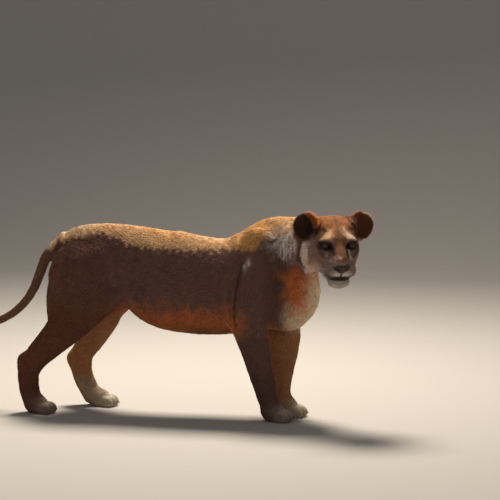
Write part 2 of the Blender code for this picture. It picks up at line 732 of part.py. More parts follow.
def fit_eyes(head, finish):
    """An eyeball on each side, and the hollow for it in the head."""
    eyes = []
    for name, side in (("eye_right", -1), ("eye_left", 1)):
        place = HEAD_FRAME.point((EYE_PLACE[0], side * EYE_PLACE[1], EYE_PLACE[2]))
        for role, radius in ((name, EYE_RADIUS), (name + "_hollow", EYE_RADIUS + CUT_GAP)):
            shape = bmesh.new()
            bmesh.ops.create_uvsphere(shape, u_segments=14, v_segments=7, radius=radius)
            bmesh.ops.translate(shape, verts=shape.verts[:], vec=place)
            mesh = bpy.data.meshes.new(role)
            shape.to_mesh(mesh)
            shape.free()
            mesh.shade_smooth()
            mesh.materials.append(finish)
            eyes.append(in_scene(role, mesh))
        hollow = eyes[-1]
        hollow.hide_render = True
        hollow.display_type = "WIRE"
        cut = head.modifiers.new(name, "BOOLEAN")
        cut.operation = "DIFFERENCE"
        cut.solver = "EXACT"
        cut.object = hollow
    return eyes


def stand_at_origin(objects):
    """Moves every mesh so that the middle of the whole box, on the ground, is the origin."""
    corners = [np.array(corner.co) for piece in objects for corner in piece.data.vertices]
    middle = (np.min(corners, axis=0) + np.max(corners, axis=0)) / 2
    for piece in objects:
        for vertex in piece.data.vertices:
            vertex.co.x -= middle[0]
            vertex.co.y -= middle[1]
    return middle


def main():
    for old in list(bpy.data.objects):
        bpy.data.objects.remove(old)
    shapes = lioness()
    coat = material("short tawny coat", (0.40, 0.24, 0.13), 0.85)
    pale_coat = material("pale coat", (0.55, 0.44, 0.32), 0.85)
    dark_coat = material("dark coat", (0.05, 0.035, 0.03), 0.85)
    nose_skin = material("nose skin", (0.06, 0.035, 0.03), 0.45)
    eye_gloss = material("amber eye", (0.30, 0.16, 0.04), 0.08)

    body = blank("body stock", shapes, (-1.70, -0.38, 0.02), (0.48, 0.24, 1.02), BODY_STEP, BODY_TRIANGLES)
    head = blank("head stock", shapes, (0.18, -0.40, 0.60), (0.64, 0.12, 1.06), HEAD_STEP, HEAD_TRIANGLES)
    pieces = cut_head(head, body, (coat, pale_coat, nose_skin))
    pieces += fit_eyes(pieces[0], eye_gloss)
    pieces += cut_trunk(body, coat)
    for side in (-1, 1):
        for legs, cut, top in (("fore", cut_fore_leg, 0.16), ("hind", cut_hind_leg, 0.12)):
            x, y = PAW_PLACES[legs + ("_left" if side > 0 else "_right")]
            low, high = (x - 0.15, y - 0.085, -0.03), (x + 0.13, y + 0.085, top)
            stock = blank("paw stock", shapes, low, high, PAW_STEP, PAW_TRIANGLES)
            pieces += cut(side, body, stock, coat)
    pieces += cut_tail(body, coat, dark_coat)
    stand_at_origin(pieces)


main()
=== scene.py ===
import json
import logging
import math
from dataclasses import dataclass, field
from enum import Enum
from functools import partial
from typing import Callable, Iterable, Sequence

import bpy
import numpy as np
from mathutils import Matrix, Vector

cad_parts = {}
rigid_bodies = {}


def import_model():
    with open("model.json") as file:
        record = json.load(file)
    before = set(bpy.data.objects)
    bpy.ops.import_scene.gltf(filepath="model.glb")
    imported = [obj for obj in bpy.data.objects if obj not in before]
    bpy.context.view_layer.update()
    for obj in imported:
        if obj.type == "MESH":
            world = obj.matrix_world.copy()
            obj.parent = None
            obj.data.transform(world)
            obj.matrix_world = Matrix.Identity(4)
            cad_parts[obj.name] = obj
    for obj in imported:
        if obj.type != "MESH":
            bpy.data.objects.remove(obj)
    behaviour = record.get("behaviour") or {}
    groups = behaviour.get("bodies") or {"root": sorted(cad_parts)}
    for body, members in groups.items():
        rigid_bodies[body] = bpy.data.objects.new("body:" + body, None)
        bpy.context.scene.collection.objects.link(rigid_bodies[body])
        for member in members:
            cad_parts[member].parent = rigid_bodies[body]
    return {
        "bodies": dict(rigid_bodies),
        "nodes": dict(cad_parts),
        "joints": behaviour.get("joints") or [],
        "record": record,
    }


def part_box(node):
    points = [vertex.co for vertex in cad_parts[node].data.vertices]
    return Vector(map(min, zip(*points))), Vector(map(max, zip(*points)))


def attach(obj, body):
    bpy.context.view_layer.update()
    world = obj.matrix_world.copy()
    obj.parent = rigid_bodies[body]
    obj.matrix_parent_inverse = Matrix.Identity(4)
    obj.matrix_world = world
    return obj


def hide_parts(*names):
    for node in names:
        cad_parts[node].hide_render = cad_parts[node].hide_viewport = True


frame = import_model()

Array = np.ndarray
Row = Sequence[float]
Keys = tuple[tuple[float, ...], ...]
Field = Callable[[Array], Array]
Piece = bpy.types.Object
Socket = bpy.types.NodeSocket
log = logging.getLogger("lioness")

# ---- Small maths ----


def turned(yaw: float = 0.0, pitch: float = 0.0, roll: float = 0.0) -> Array:
    """Axes turned by degrees: roll about x, then pitch about y (front down), then yaw about z.

    Args:
        yaw: turn to the left.
        pitch: turn of the front downwards.
        roll: turn of the left side upwards.

    Returns:
        A 3 by 3 matrix whose columns are the turned x, y and z axes.
    """
    y, p, r = np.radians([yaw, pitch, roll])
    about_z = np.array([[math.cos(y), -math.sin(y), 0], [math.sin(y), math.cos(y), 0], [0, 0, 1]])
    about_y = np.array([[math.cos(p), 0, math.sin(p)], [0, 1, 0], [-math.sin(p), 0, math.cos(p)]])
    about_x = np.array([[1, 0, 0], [0, math.cos(r), -math.sin(r)], [0, math.sin(r), math.cos(r)]])
    return about_z @ about_y @ about_x


def unit(rows: Array) -> Array:
    """The rows at length one."""
    return rows / (np.linalg.norm(rows, axis=-1, keepdims=True) + 1e-12)


def step(value: Array, start: float, end: float) -> Array:
    """0 at start, 1 at end, and an S curve, 3t^2 - 2t^3, between them; start may be above end."""
    t = np.clip((value - start) / (end - start), 0.0, 1.0)
    return t * t * (3.0 - 2.0 * t)


def bell(value: Array, centre: float, width: float) -> Array:
    """A bell curve: e to the minus square of how many widths the value is from the centre."""
    return np.exp(-(((value - centre) / width) ** 2))


def smooth_path(keys: Iterable[Row], count: int) -> Array:
    """Rows of a Catmull-Rom curve, which passes through every key.

    Args:
        keys: rows of numbers, the first three of them a place.
        count: how many rows to give back, evenly spread over the keys.

    Returns:
        The rows of the curve.
    """
    rows = np.asarray(keys, float)
    around = np.vstack([2 * rows[0] - rows[1], rows, 2 * rows[-1] - rows[-2]])
    place = np.linspace(0, len(rows) - 1 - 1e-9, count)
    index = place.astype(int)
    t = (place - index)[:, None]
    a, b, c, d = (around[index + i] for i in range(4))
    return 0.5 * (2 * b + (c - a) * t + (2 * a - 5 * b + 4 * c - d) * t**2 + (3 * b - a - 3 * c + d) * t**3)


def ripple(points: Array, size: float, seed: int) -> Array:
    """Smooth noise from -1 to 1: the mean of seven sine waves of about one length, in seeded directions.

    Args:
        points: places, one to a row.
        size: the length of a wave.
        seed: picks the directions and phases.

    Returns:
        One number for each place.
    """
    chance = np.random.default_rng(seed)
    waves = unit(chance.normal(size=(7, 3))) * (2 * math.pi / size) * chance.uniform(0.6, 1.5, (7, 1))
    return np.sin(points @ waves.T + chance.uniform(0, 6.28, 7)).sum(axis=1) / 4.0


# ---- Soft shapes ----


def egg_distance(offsets: Array, radii: Array) -> Array:
    """Distance-like number from an ellipsoid: k (k - 1) / g, where k is how many times its size away
    the point is and g is the slope of k.

    Args:
        offsets: points from the centre, along the egg's axes.
        radii: half sizes along the axes.

    Returns:
        A number for each point, below 0 inside.
    """
    size = np.sqrt(((offsets / radii) ** 2).sum(axis=1)) + 1e-9
    slope = np.sqrt(((offsets / radii**2) ** 2).sum(axis=1)) + 1e-9
    return size * (size - 1.0) / slope


@dataclass
class Egg:
    """An ellipsoid with its centre, radii and axes. melt is how softly it joins what is there
    already, and cut takes it away instead."""

    centre: Row
    radii: Row
    melt: float = 0.02
    axes: Array = field(default_factory=turned)
    cut: bool = False

    def __post_init__(self) -> None:
        """Works out the box outside which the shape changes nothing."""
        margin = max(self.radii) + self.melt + 0.05
        self.low = np.asarray(self.centre) - margin
        self.high = np.asarray(self.centre) + margin

    def distance(self, points: Array) -> Array:
        """A distance-like number for each point, below zero inside."""
        return egg_distance((points - np.asarray(self.centre)) @ self.axes, np.asarray(self.radii, float))


@dataclass
class Limb:
    """An oval carried along a smooth path. Each point is measured in the oval at its nearest place on
    the path: side is the direction that the oval's second radius keeps to."""

    keys: Iterable[Row]
    melt: float = 0.02
    side: Row = (0, 1, 0)
    spans: int = 14
    cut: bool = False

    FINE = 12

    def __post_init__(self) -> None:
        """Lays out the path's rows: place, radii, direction, the two cross axes, and the pace."""
        rows = smooth_path(self.keys, self.spans * self.FINE + 1)
        self.centres = rows[:, :3]
        ahead = np.gradient(self.centres, axis=0)
        pace = np.linalg.norm(ahead, axis=1)[:, None]
        ahead = ahead / pace
        side = np.asarray(self.side, float) - (ahead @ np.asarray(self.side, float))[:, None] * ahead
        side = unit(side)
        self.table = np.hstack([rows, ahead, side, np.cross(ahead, side), pace])
        margin = rows[:, 3:].max() + self.melt + 0.05
        self.low, self.high = self.centres.min(axis=0) - margin, self.centres.max(axis=0) + margin

    def row(self, place: Array) -> Array:
        """The rows of the table at places between its rows.

        Args:
            place: how far along the path, counted in rows.

        Returns:
            A row of the table for each place.
        """
        index = np.minimum(place.astype(int), len(self.centres) - 2)
        part = (place - index)[:, None]
        return self.table[index] * (1 - part) + self.table[index + 1] * part

    def distance(self, points: Array) -> Array:
        """A distance-like number for each point: the nearest place is found on the coarse path and
        then moved along it twice by how far ahead the point lies.

        Args:
            points: places, a row each.

        Returns:
            A number for each point, below 0 inside.
        """
        nearest = np.full(len(points), np.inf)
        place = np.zeros(len(points))
        coarse = self.centres[:: self.FINE]
        for i in range(self.spans):
            leg = coarse[i + 1] - coarse[i]
            t = np.clip((points - coarse[i]) @ leg / (leg @ leg), 0, 1)
            gap = ((points - coarse[i] - t[:, None] * leg) ** 2).sum(axis=1)
            closer = gap < nearest
            nearest[closer] = gap[closer]
            place[closer] = (i + t[closer]) * self.FINE
        for _ in range(2):
            row = self.row(place)
            ahead = ((points - row[:, :3]) * row[:, 5:8]).sum(axis=1) / row[:, 14]
            place = np.clip(place + ahead, 0, len(self.centres) - 1)
        row = self.row(place)
        offset = points - row[:, :3]
        axes = (row[:, 11:14], row[:, 8:11], row[:, 5:8])
        offsets = np.stack([(offset * axis).sum(axis=1) for axis in axes], axis=1)
        radii = np.column_stack([row[:, 3], row[:, 4], row[:, 3:5].min(axis=1)])
        return egg_distance(offsets, radii)


Shape = Egg | Limb


@dataclass
class Frame:
    """A place and axes that shapes are given in, such as the head's."""

    place: Array
    axes: Array

    def point(self, local: Row) -> Array:
        """The place of a local point, or of rows of them."""
        return self.place + np.asarray(local, float) @ self.axes.T

    def local(self, points: Array) -> Array:
        """Points seen from this frame."""
        return (points - self.place) @ self.axes

    def egg(self, centre: Row, radii: Row, melt: float = 0.02, turn: Row = (0, 0, 0),
            cut: bool = False) -> Egg:
        """An ellipsoid given in this frame; turn is its yaw, pitch and roll."""
        return Egg(self.point(centre), radii, melt, self.axes @ turned(*turn), cut)

    def limb(self, keys: Iterable[Row], melt: float = 0.02, side: Row = (0, 1, 0), spans: int = 8,
             cut: bool = False) -> Limb:
        """A limb given in this frame.

        Args:
            keys: centres and radii along the path.
            melt: how softly it joins what comes before.
            side: the direction of the second radius.
            spans: stretches of the coarse path.
            cut: whether it is cut away.

        Returns:
            The limb in the model's frame.
        """
        rows = np.array(keys, float)
        rows[:, :3] = self.point(rows[:, :3])
        return Limb(rows, melt, self.axes @ np.array(side, float), spans, cut)


def smooth_minimum(a: Array, b: Array, melt: float) -> Array:
    """The lower of two numbers, dipped by up to a quarter of melt where they are within melt."""
    near = np.maximum(melt - np.abs(a - b), 0.0)
    return np.minimum(a, b) - near**2 / (4 * melt)


def melted(shapes: Sequence[Shape], points: Array) -> Array:
    """The field of all the shapes, melted or cut in one after another.

    Args:
        shapes: eggs and limbs, in order.
        points: places, one to a row.

    Returns:
        A distance-like number for each place, below zero inside.
    """
    total = np.full(len(points), 0.5)
    for shape in shapes:
        inside = np.nonzero(((points > shape.low) & (points < shape.high)).all(axis=1))[0]
        if not len(inside):
            continue
        distance = shape.distance(points[inside])
        if shape.cut:
            total[inside] = -smooth_minimum(-total[inside], distance, shape.melt)
        else:
            total[inside] = smooth_minimum(total[inside], distance, shape.melt)
    return total


@dataclass(frozen=True)
class Crease:
    """A fold in the skin: a groove along a path, with a low ridge on each side of it."""

    keys: Keys
    depth: float
    width: float
    ridge: float = 0.35

    def offset(self, points: Array) -> Array:
        """How far the skin sinks at each point: depth times a bell curve of the distance from the
        path, less a ridge that is another bell curve two widths away.

        Args:
            points: places, a row each.

        Returns:
            The depth at each point.
        """
        result = np.zeros(len(points))
        path = smooth_path(self.keys, 5 * len(self.keys))
        reach = 5 * self.width
        near = np.nonzero(
            ((points > path.min(axis=0) - reach) & (points < path.max(axis=0) + reach)).all(axis=1)
        )[0]
        if not len(near):
            return result
        gap = np.full(len(near), np.inf)
        here = np.zeros(len(near))
        for i in range(len(path) - 1):
            leg = path[i + 1] - path[i]
            t = np.clip((points[near] - path[i]) @ leg / (leg @ leg), 0, 1)
            far = np.linalg.norm(points[near] - path[i] - t[:, None] * leg, axis=1)
            here = np.where(far < gap, (i + t) / (len(path) - 1), here)
            gap = np.minimum(gap, far)
        fade = np.sin(math.pi * np.clip(here, 0.02, 0.98)) ** 0.6
        groove = bell(gap, 0, self.width) - self.ridge * bell(gap, 2 * self.width, self.width)
        result[near] = self.depth * fade * groove
        return result


def folds(side: int, rows: Iterable[tuple], frame: Frame | None = None) -> list[Crease]:
    """Creases that are given for her left; side -1 mirrors them.

    Args:
        side: 1 for her left and -1 for her right.
        rows: the places of each crease, its depth, its width and, where it isn't the usual, its ridge.
        frame: the frame that the places are given in.

    Returns:
        The creases.
    """
    result = []
    for keys, *sizes in rows:
        places = [(x, side * y, z) for x, y, z in keys]
        result.append(Crease(tuple(map(tuple, frame.point(places) if frame else places)), *sizes))
    return result


# ---- Anatomy: she faces +X, and side is 1 for her left (+Y) and -1 for her right ----


@dataclass
class Trunk:
    """Ribs, belly, loins, breast and neck."""

    withers_height: float = 0.985
    back_dip_height: float = 0.878
    rump_height: float = 0.939
    belly_height: float = 0.404
    rib_half_width: float = 0.16
    loin_half_width: float = 0.116
    breast_front: float = 0.318

    def shapes(self) -> list[Shape]:
        """The trunk, the breast and the neck, in the order in which they melt."""
        sections = [  # x, back, belly, half width
            (-0.93, 0.898, 0.642, 0.075),
            (-0.86, 0.93, 0.61, 0.098),
            (-0.77, self.rump_height + 0.003, 0.58, 0.11),
            (-0.665, self.rump_height + 0.002, 0.552, self.loin_half_width),
            (-0.54, 0.93, 0.5, 0.13),
            (-0.415, 0.918, 0.424, 0.145),
            (-0.28, 0.892, self.belly_height - 0.002, 0.157),
            (-0.14, self.back_dip_height, self.belly_height, self.rib_half_width),
            (0.0, 0.884, 0.425, 0.151),
            (0.12, 0.915, 0.45, 0.137),
            (0.21, 0.925, 0.5, 0.115),
        ]
        body = [(x, 0, (back + low) / 2, (back - low) / 2, half) for x, back, low, half in sections]
        neck = [
            (0.02, 0.0, self.withers_height - 0.204, 0.138, 0.104),
            (0.12, 0.0, self.withers_height - 0.15, 0.148, 0.108),
            (0.21, -0.01, self.withers_height - 0.133, 0.135, 0.107),
            (0.29, -0.035, self.withers_height - 0.125, 0.125, 0.105),
            (0.36, -0.085, self.withers_height - 0.113, 0.11, 0.1),
        ]
        breast_radii = (0.128, 0.108, 0.185)
        breast = (self.breast_front - breast_radii[0], 0, 0.625)
        breast = Egg(breast, breast_radii, 0.06, turned(pitch=-4))
        return [Limb(body, 0.04, spans=26), breast, Limb(neck, 0.07, spans=10)]

    def creases(self) -> list[Crease]:
        """Folds behind the shoulders, at the flanks and on the neck, and faint ribs."""
        sides = [
            (((0.002, 0.148, 0.8), (-0.012, 0.156, 0.73), (-0.03, 0.16, 0.654), (-0.045, 0.156, 0.56),
              (-0.042, 0.146, 0.49), (-0.02, 0.125, 0.44)), 0.02, 0.011),
            (((-0.08, 0.16, 0.7), (-0.092, 0.162, 0.6), (-0.08, 0.15, 0.5)), 0.003, 0.016),
            (((0.12, 0.15, 0.7), (0.06, 0.165, 0.62), (0.02, 0.16, 0.56)), 0.006, 0.014),
            (((-0.47, 0.13, 0.5), (-0.54, 0.14, 0.56), (-0.6, 0.14, 0.62)), 0.008, 0.014),
            (((-0.63, 0.13, 0.82), (-0.66, 0.145, 0.72), (-0.64, 0.15, 0.62)), 0.006, 0.02),
            (((0.25, 0.11, 0.8), (0.27, 0.125, 0.7), (0.25, 0.12, 0.6)), 0.007, 0.016),
        ]
        for x in (-0.13 - 0.055 * rib for rib in range(5)):
            sides.append((((x + 0.03, 0.15, 0.76), (x, 0.17, 0.66), (x - 0.02, 0.16, 0.56)), 0.0022, 0.012))
        neck = ((0.23, 0.0, 0.9), (0.3, -0.12, 0.88), (0.32, -0.19, 0.8), (0.3, -0.17, 0.7))
        return folds(-1, sides) + folds(1, sides) + [Crease(neck, 0.006, 0.014)]


@dataclass
class Paw:
    """A foot's back, its pads and four toes, the middle two ahead of the outer ones."""

    place: tuple[float, float]
    length: float
    width: float
    toe_height: float = 0.054
    toes: Keys = ((0.17, -0.35), (0.235, -0.125), (0.235, 0.125), (0.17, 0.35))

    def frame(self) -> Frame:
        """The foot's own frame, on the ground and turned a little outwards."""
        return Frame(np.array((*self.place, 0.0)), turned(yaw=-4))

    def shapes(self) -> list[Shape]:
        """The shapes of the foot."""
        foot = self.frame()
        parts: list[Shape] = [
            foot.egg((-0.13 * self.length, 0, 0.045), (0.36 * self.length, 0.4 * self.width, 0.042), 0.03),
            foot.egg((0, 0, 0.02), (0.4 * self.length, 0.42 * self.width, 0.032), 0.02),
        ]
        radii = (0.26 * self.length, 0.155 * self.width, self.toe_height / 2 + 0.003)
        for ahead, across in self.toes:
            centre = (ahead * self.length, across * self.width, self.toe_height / 2 - 0.003)
            parts.append(foot.egg(centre, radii, 0.008, (across * 25, 6, 0)))
        return parts

    def creases(self) -> list[Crease]:
        """The clefts between the toes, run back over the foot."""
        foot, folds = self.frame(), []
        for across in (-0.24, 0.0, 0.24):
            y = across * self.width
            keys = [(0.42 * self.length, y, 0.012), (0.4 * self.length, y, 0.04),
                    (0.28 * self.length, y, 0.06), (0.12 * self.length, y * 0.9, 0.066)]
            folds.append(Crease(tuple(map(tuple, foot.point(keys))), 0.004, 0.004, 0.2))
        return folds


@dataclass
class ForeLeg:
    """A shoulder, its muscles, the foreleg and the paw. Her left leg stands a little further forward."""

    side: int
    heights: tuple[float, ...] = (0.5, 0.42, 0.335, 0.256, 0.172, 0.115, 0.065)
    across: tuple[float, ...] = (0.055, 0.052, 0.047, 0.042, 0.04, 0.041, 0.045)

    def steps(self) -> list[tuple[float, float]]:
        """How far forward and how far out the leg's middle is at each height."""
        if self.side < 0:
            return [(0.0, 0.104), (0.027, 0.101), (0.05, 0.096), (0.068, 0.09), (0.09, 0.082), (0.102, 0.077),
                    (0.118, 0.073)]
        return [(0.108, 0.104), (0.14, 0.1), (0.15, 0.092), (0.146, 0.084), (0.138, 0.075), (0.14, 0.068),
                (0.158, 0.063)]

    def paw(self) -> Paw:
        """The forepaw."""
        return Paw((0.152, -0.073) if self.side < 0 else (0.195, 0.062), 0.155, 0.108)

    def path(self) -> Array:
        """The middle of the leg and its radii, from the elbow down."""
        steps = np.array(self.steps())
        right = (0.084, 0.08, 0.071, 0.063, 0.057, 0.051, 0.048)
        left = (0.098, 0.094, 0.077, 0.064, 0.056, 0.051, 0.048)
        fore_and_aft = right if self.side < 0 else left
        sideways = self.side * steps[:, 1]
        return np.column_stack([steps[:, 0], sideways, self.heights, fore_and_aft, self.across])

    def shapes(self) -> list[Shape]:
        """Shoulder blade, upper arm, the muscle behind it, the leg and the paw."""
        side, elbow = self.side, self.steps()[0][0]
        arm = [
            (0.165, side * 0.102, 0.63, 0.085, 0.05),
            (0.08, side * 0.108, 0.55, 0.08, 0.051),
            (elbow - 0.01, side * 0.105, 0.475, 0.065, 0.048),
        ]
        return [
            Egg((0.075, side * 0.098, 0.762), (0.1, 0.054, 0.176), 0.05, turned(pitch=-14)),
            Limb(arm, 0.04, spans=4),
            Egg((0.005, side * 0.121, 0.605), (0.085, 0.043, 0.135), 0.025, turned(pitch=-8)),
            Limb(self.path(), 0.03, spans=12),
        ] + self.paw().shapes()

    def creases(self) -> list[Crease]:
        """The elbow's folds, the line between the forearm's muscles, the wrist and the toes."""
        path, result = self.path(), []
        rows = [  # row of the path, places ahead, out and up from it, depth, width
            (0, ((-0.075, 0.02, 0.01), (-0.02, 0.055, -0.02), (0.05, 0.05, -0.03)), 0.006, 0.01),
            (0, ((-0.06, 0.03, -0.04), (-0.01, 0.054, -0.065), (0.03, 0.052, -0.07)), 0.004, 0.008),
            (3, ((-0.01, 0.046, 0.12), (-0.008, 0.044, 0.04), (0.004, 0.042, -0.06)), 0.0035, 0.009),
            (5, ((-0.044, 0.01, 0.0), (-0.03, 0.036, 0.004), (0.01, 0.042, 0.002)), 0.0025, 0.006),
        ]
        for row, keys, depth, width in rows:
            x, y, z = path[row, :3]
            places = tuple((x + ahead, y + self.side * out, z + up) for ahead, out, up in keys)
            result.append(Crease(places, depth, width))
        return result + self.paw().creases()


@dataclass
class HindLeg:
    """A thigh, shank, foot and paw. Her right one is set well back and her left one forward."""

    side: int
    foot_radii: Keys = ((0.057, 0.036), (0.056, 0.035), (0.053, 0.035), (0.051, 0.038), (0.047, 0.042))

    def __post_init__(self) -> None:
        """Picks the stance of this side."""
        if self.side < 0:
            self.hip, self.knee = (-0.84, 0.74), (-0.765, 0.535)
            self.shank = [(-0.79, 0.545), (-0.868, 0.462), (-0.95, 0.385), (-1.026, 0.31), (-1.082, 0.25)]
            self.foot = [(-1.084, 0.252), (-1.099, 0.2), (-1.098, 0.14), (-1.089, 0.09), (-1.072, 0.05)]
            self.ham, self.ham_end, self.ham_reach = -0.908, 0.37, 0.232
            self.ham_lean = turned(pitch=9)
            self.heel = (-1.116, 0.254)
            self.shank_radii = [(0.105, 0.062), (0.094, 0.055), (0.082, 0.048), (0.068, 0.041), (0.06, 0.036)]
            self.stand = (-1.035, -0.12)
        else:
            self.hip, self.knee = (-0.835, 0.74), (-0.732, 0.53)
            self.shank = [(-0.748, 0.535), (-0.785, 0.445), (-0.838, 0.35), (-0.89, 0.275), (-0.906, 0.235)]
            self.foot = [(-0.905, 0.24), (-0.902, 0.195), (-0.89, 0.145), (-0.87, 0.1), (-0.845, 0.055)]
            self.ham, self.ham_end, self.ham_reach = -0.874, 0.45, 0.192
            self.ham_lean = turned(pitch=-6, roll=8)
            self.heel = (-0.936, 0.236)
            self.shank_radii = [(0.094, 0.062), (0.082, 0.054), (0.068, 0.046), (0.059, 0.039),
                                (0.057, 0.036)]
            self.stand = (-0.785, 0.115)

    def paw(self) -> Paw:
        """The hind paw."""
        return Paw(self.stand, 0.15, 0.1)

    def shank_path(self) -> Array:
        """The shank's middle and radii, from the knee to the hock."""
        spread = np.linspace(self.side * 0.11, self.stand[1], len(self.shank))
        places = np.array(self.shank)
        return np.column_stack([places[:, 0], spread, places[:, 1], self.shank_radii])

    def foot_path(self) -> Array:
        """The foot's middle and radii, from the hock to the toes."""
        places = np.array(self.foot)
        sideways = np.full(len(places), self.stand[1])
        return np.column_stack([places[:, 0], sideways, places[:, 1], self.foot_radii])

    def shapes(self) -> list[Shape]:
        """Thigh, ham, shank, foot, heel and the fold of the flank, and the paw."""
        side, hip, knee = self.side, self.hip, self.knee
        thigh = [
            (hip[0], side * 0.074, hip[1], 0.155, 0.074),
            ((hip[0] + knee[0]) / 2, side * 0.094, 0.64, 0.135, 0.067),
            (knee[0], side * 0.11, knee[1], 0.095, 0.055),
        ]
        flank = [
            (-0.7, side * 0.112, 0.56, 0.05, 0.03),
            (-0.6, side * 0.108, 0.575, 0.045, 0.028),
            (-0.5, side * 0.12, 0.59, 0.05, 0.025),
        ]
        return [
            Limb(thigh, 0.05, spans=5),
            Egg((self.ham, side * 0.072, self.ham_end + self.ham_reach), (0.104, 0.062, self.ham_reach), 0.05,
                self.ham_lean),
            Limb(self.shank_path(), 0.04, spans=10),
            Limb(self.foot_path(), 0.02, spans=8),
            Egg((self.heel[0], self.stand[1], self.heel[1]), (0.034, 0.026, 0.038), 0.035),
            Limb(flank, 0.06, spans=5),
        ] + self.paw().shapes()

    def creases(self) -> list[Crease]:
        """The hollow beside the heel cord, the edge of the ham, the knee and the toes."""
        side, hock = self.side, self.shank_path()[-1]
        y = side * 0.125
        return [
            Crease(((hock[0] + 0.01, hock[1] + side * 0.033, hock[2] + 0.1),
                    (hock[0] - 0.004, hock[1] + side * 0.034, hock[2] + 0.05),
                    (hock[0] - 0.008, hock[1] + side * 0.033, hock[2] + 0.01)), 0.005, 0.008),
            Crease(((self.hip[0] - 0.05, y + side * 0.01, 0.8), (self.hip[0] - 0.04, y + side * 0.02, 0.68),
                    (self.knee[0] - 0.08, y + side * 0.01, 0.56)), 0.006, 0.018),
            Crease(((self.knee[0] + 0.08, y, 0.6), (self.knee[0] + 0.04, y + side * 0.02, 0.53),
                    (self.knee[0] - 0.03, y, 0.48)), 0.004, 0.014),
        ] + self.paw().creases()


@dataclass
class Tail:
    """The tail, hanging down and back and then level, and its tuft turned up."""

    keys: Keys = (
        (-0.935, 0.0, 0.834, 0.046),
        (-0.998, 0.0, 0.8, 0.038),
        (-1.045, 0.002, 0.755, 0.029),
        (-1.078, 0.004, 0.68, 0.0265),
        (-1.108, 0.006, 0.61, 0.025),
        (-1.155, 0.008, 0.54, 0.0235),
        (-1.22, 0.01, 0.48, 0.022),
        (-1.3, 0.012, 0.437, 0.021),
        (-1.39, 0.012, 0.413, 0.02),
        (-1.47, 0.012, 0.413, 0.02),
    )
    tuft: Keys = (
        (-1.46, 0.012, 0.412, 0.02),
        (-1.53, 0.012, 0.43, 0.03),
        (-1.585, 0.01, 0.465, 0.034),
        (-1.625, 0.008, 0.515, 0.024),
        (-1.642, 0.006, 0.56, 0.008),
    )

    def shapes(self) -> list[Shape]:
        """The tail and its tuft."""
        rounds = [[(*key[:3], key[3], key[3]) for key in keys] for keys in (self.keys, self.tuft)]
        return [Limb(rounds[0], 0.03, spans=26), Limb(rounds[1], 0.015, spans=10)]


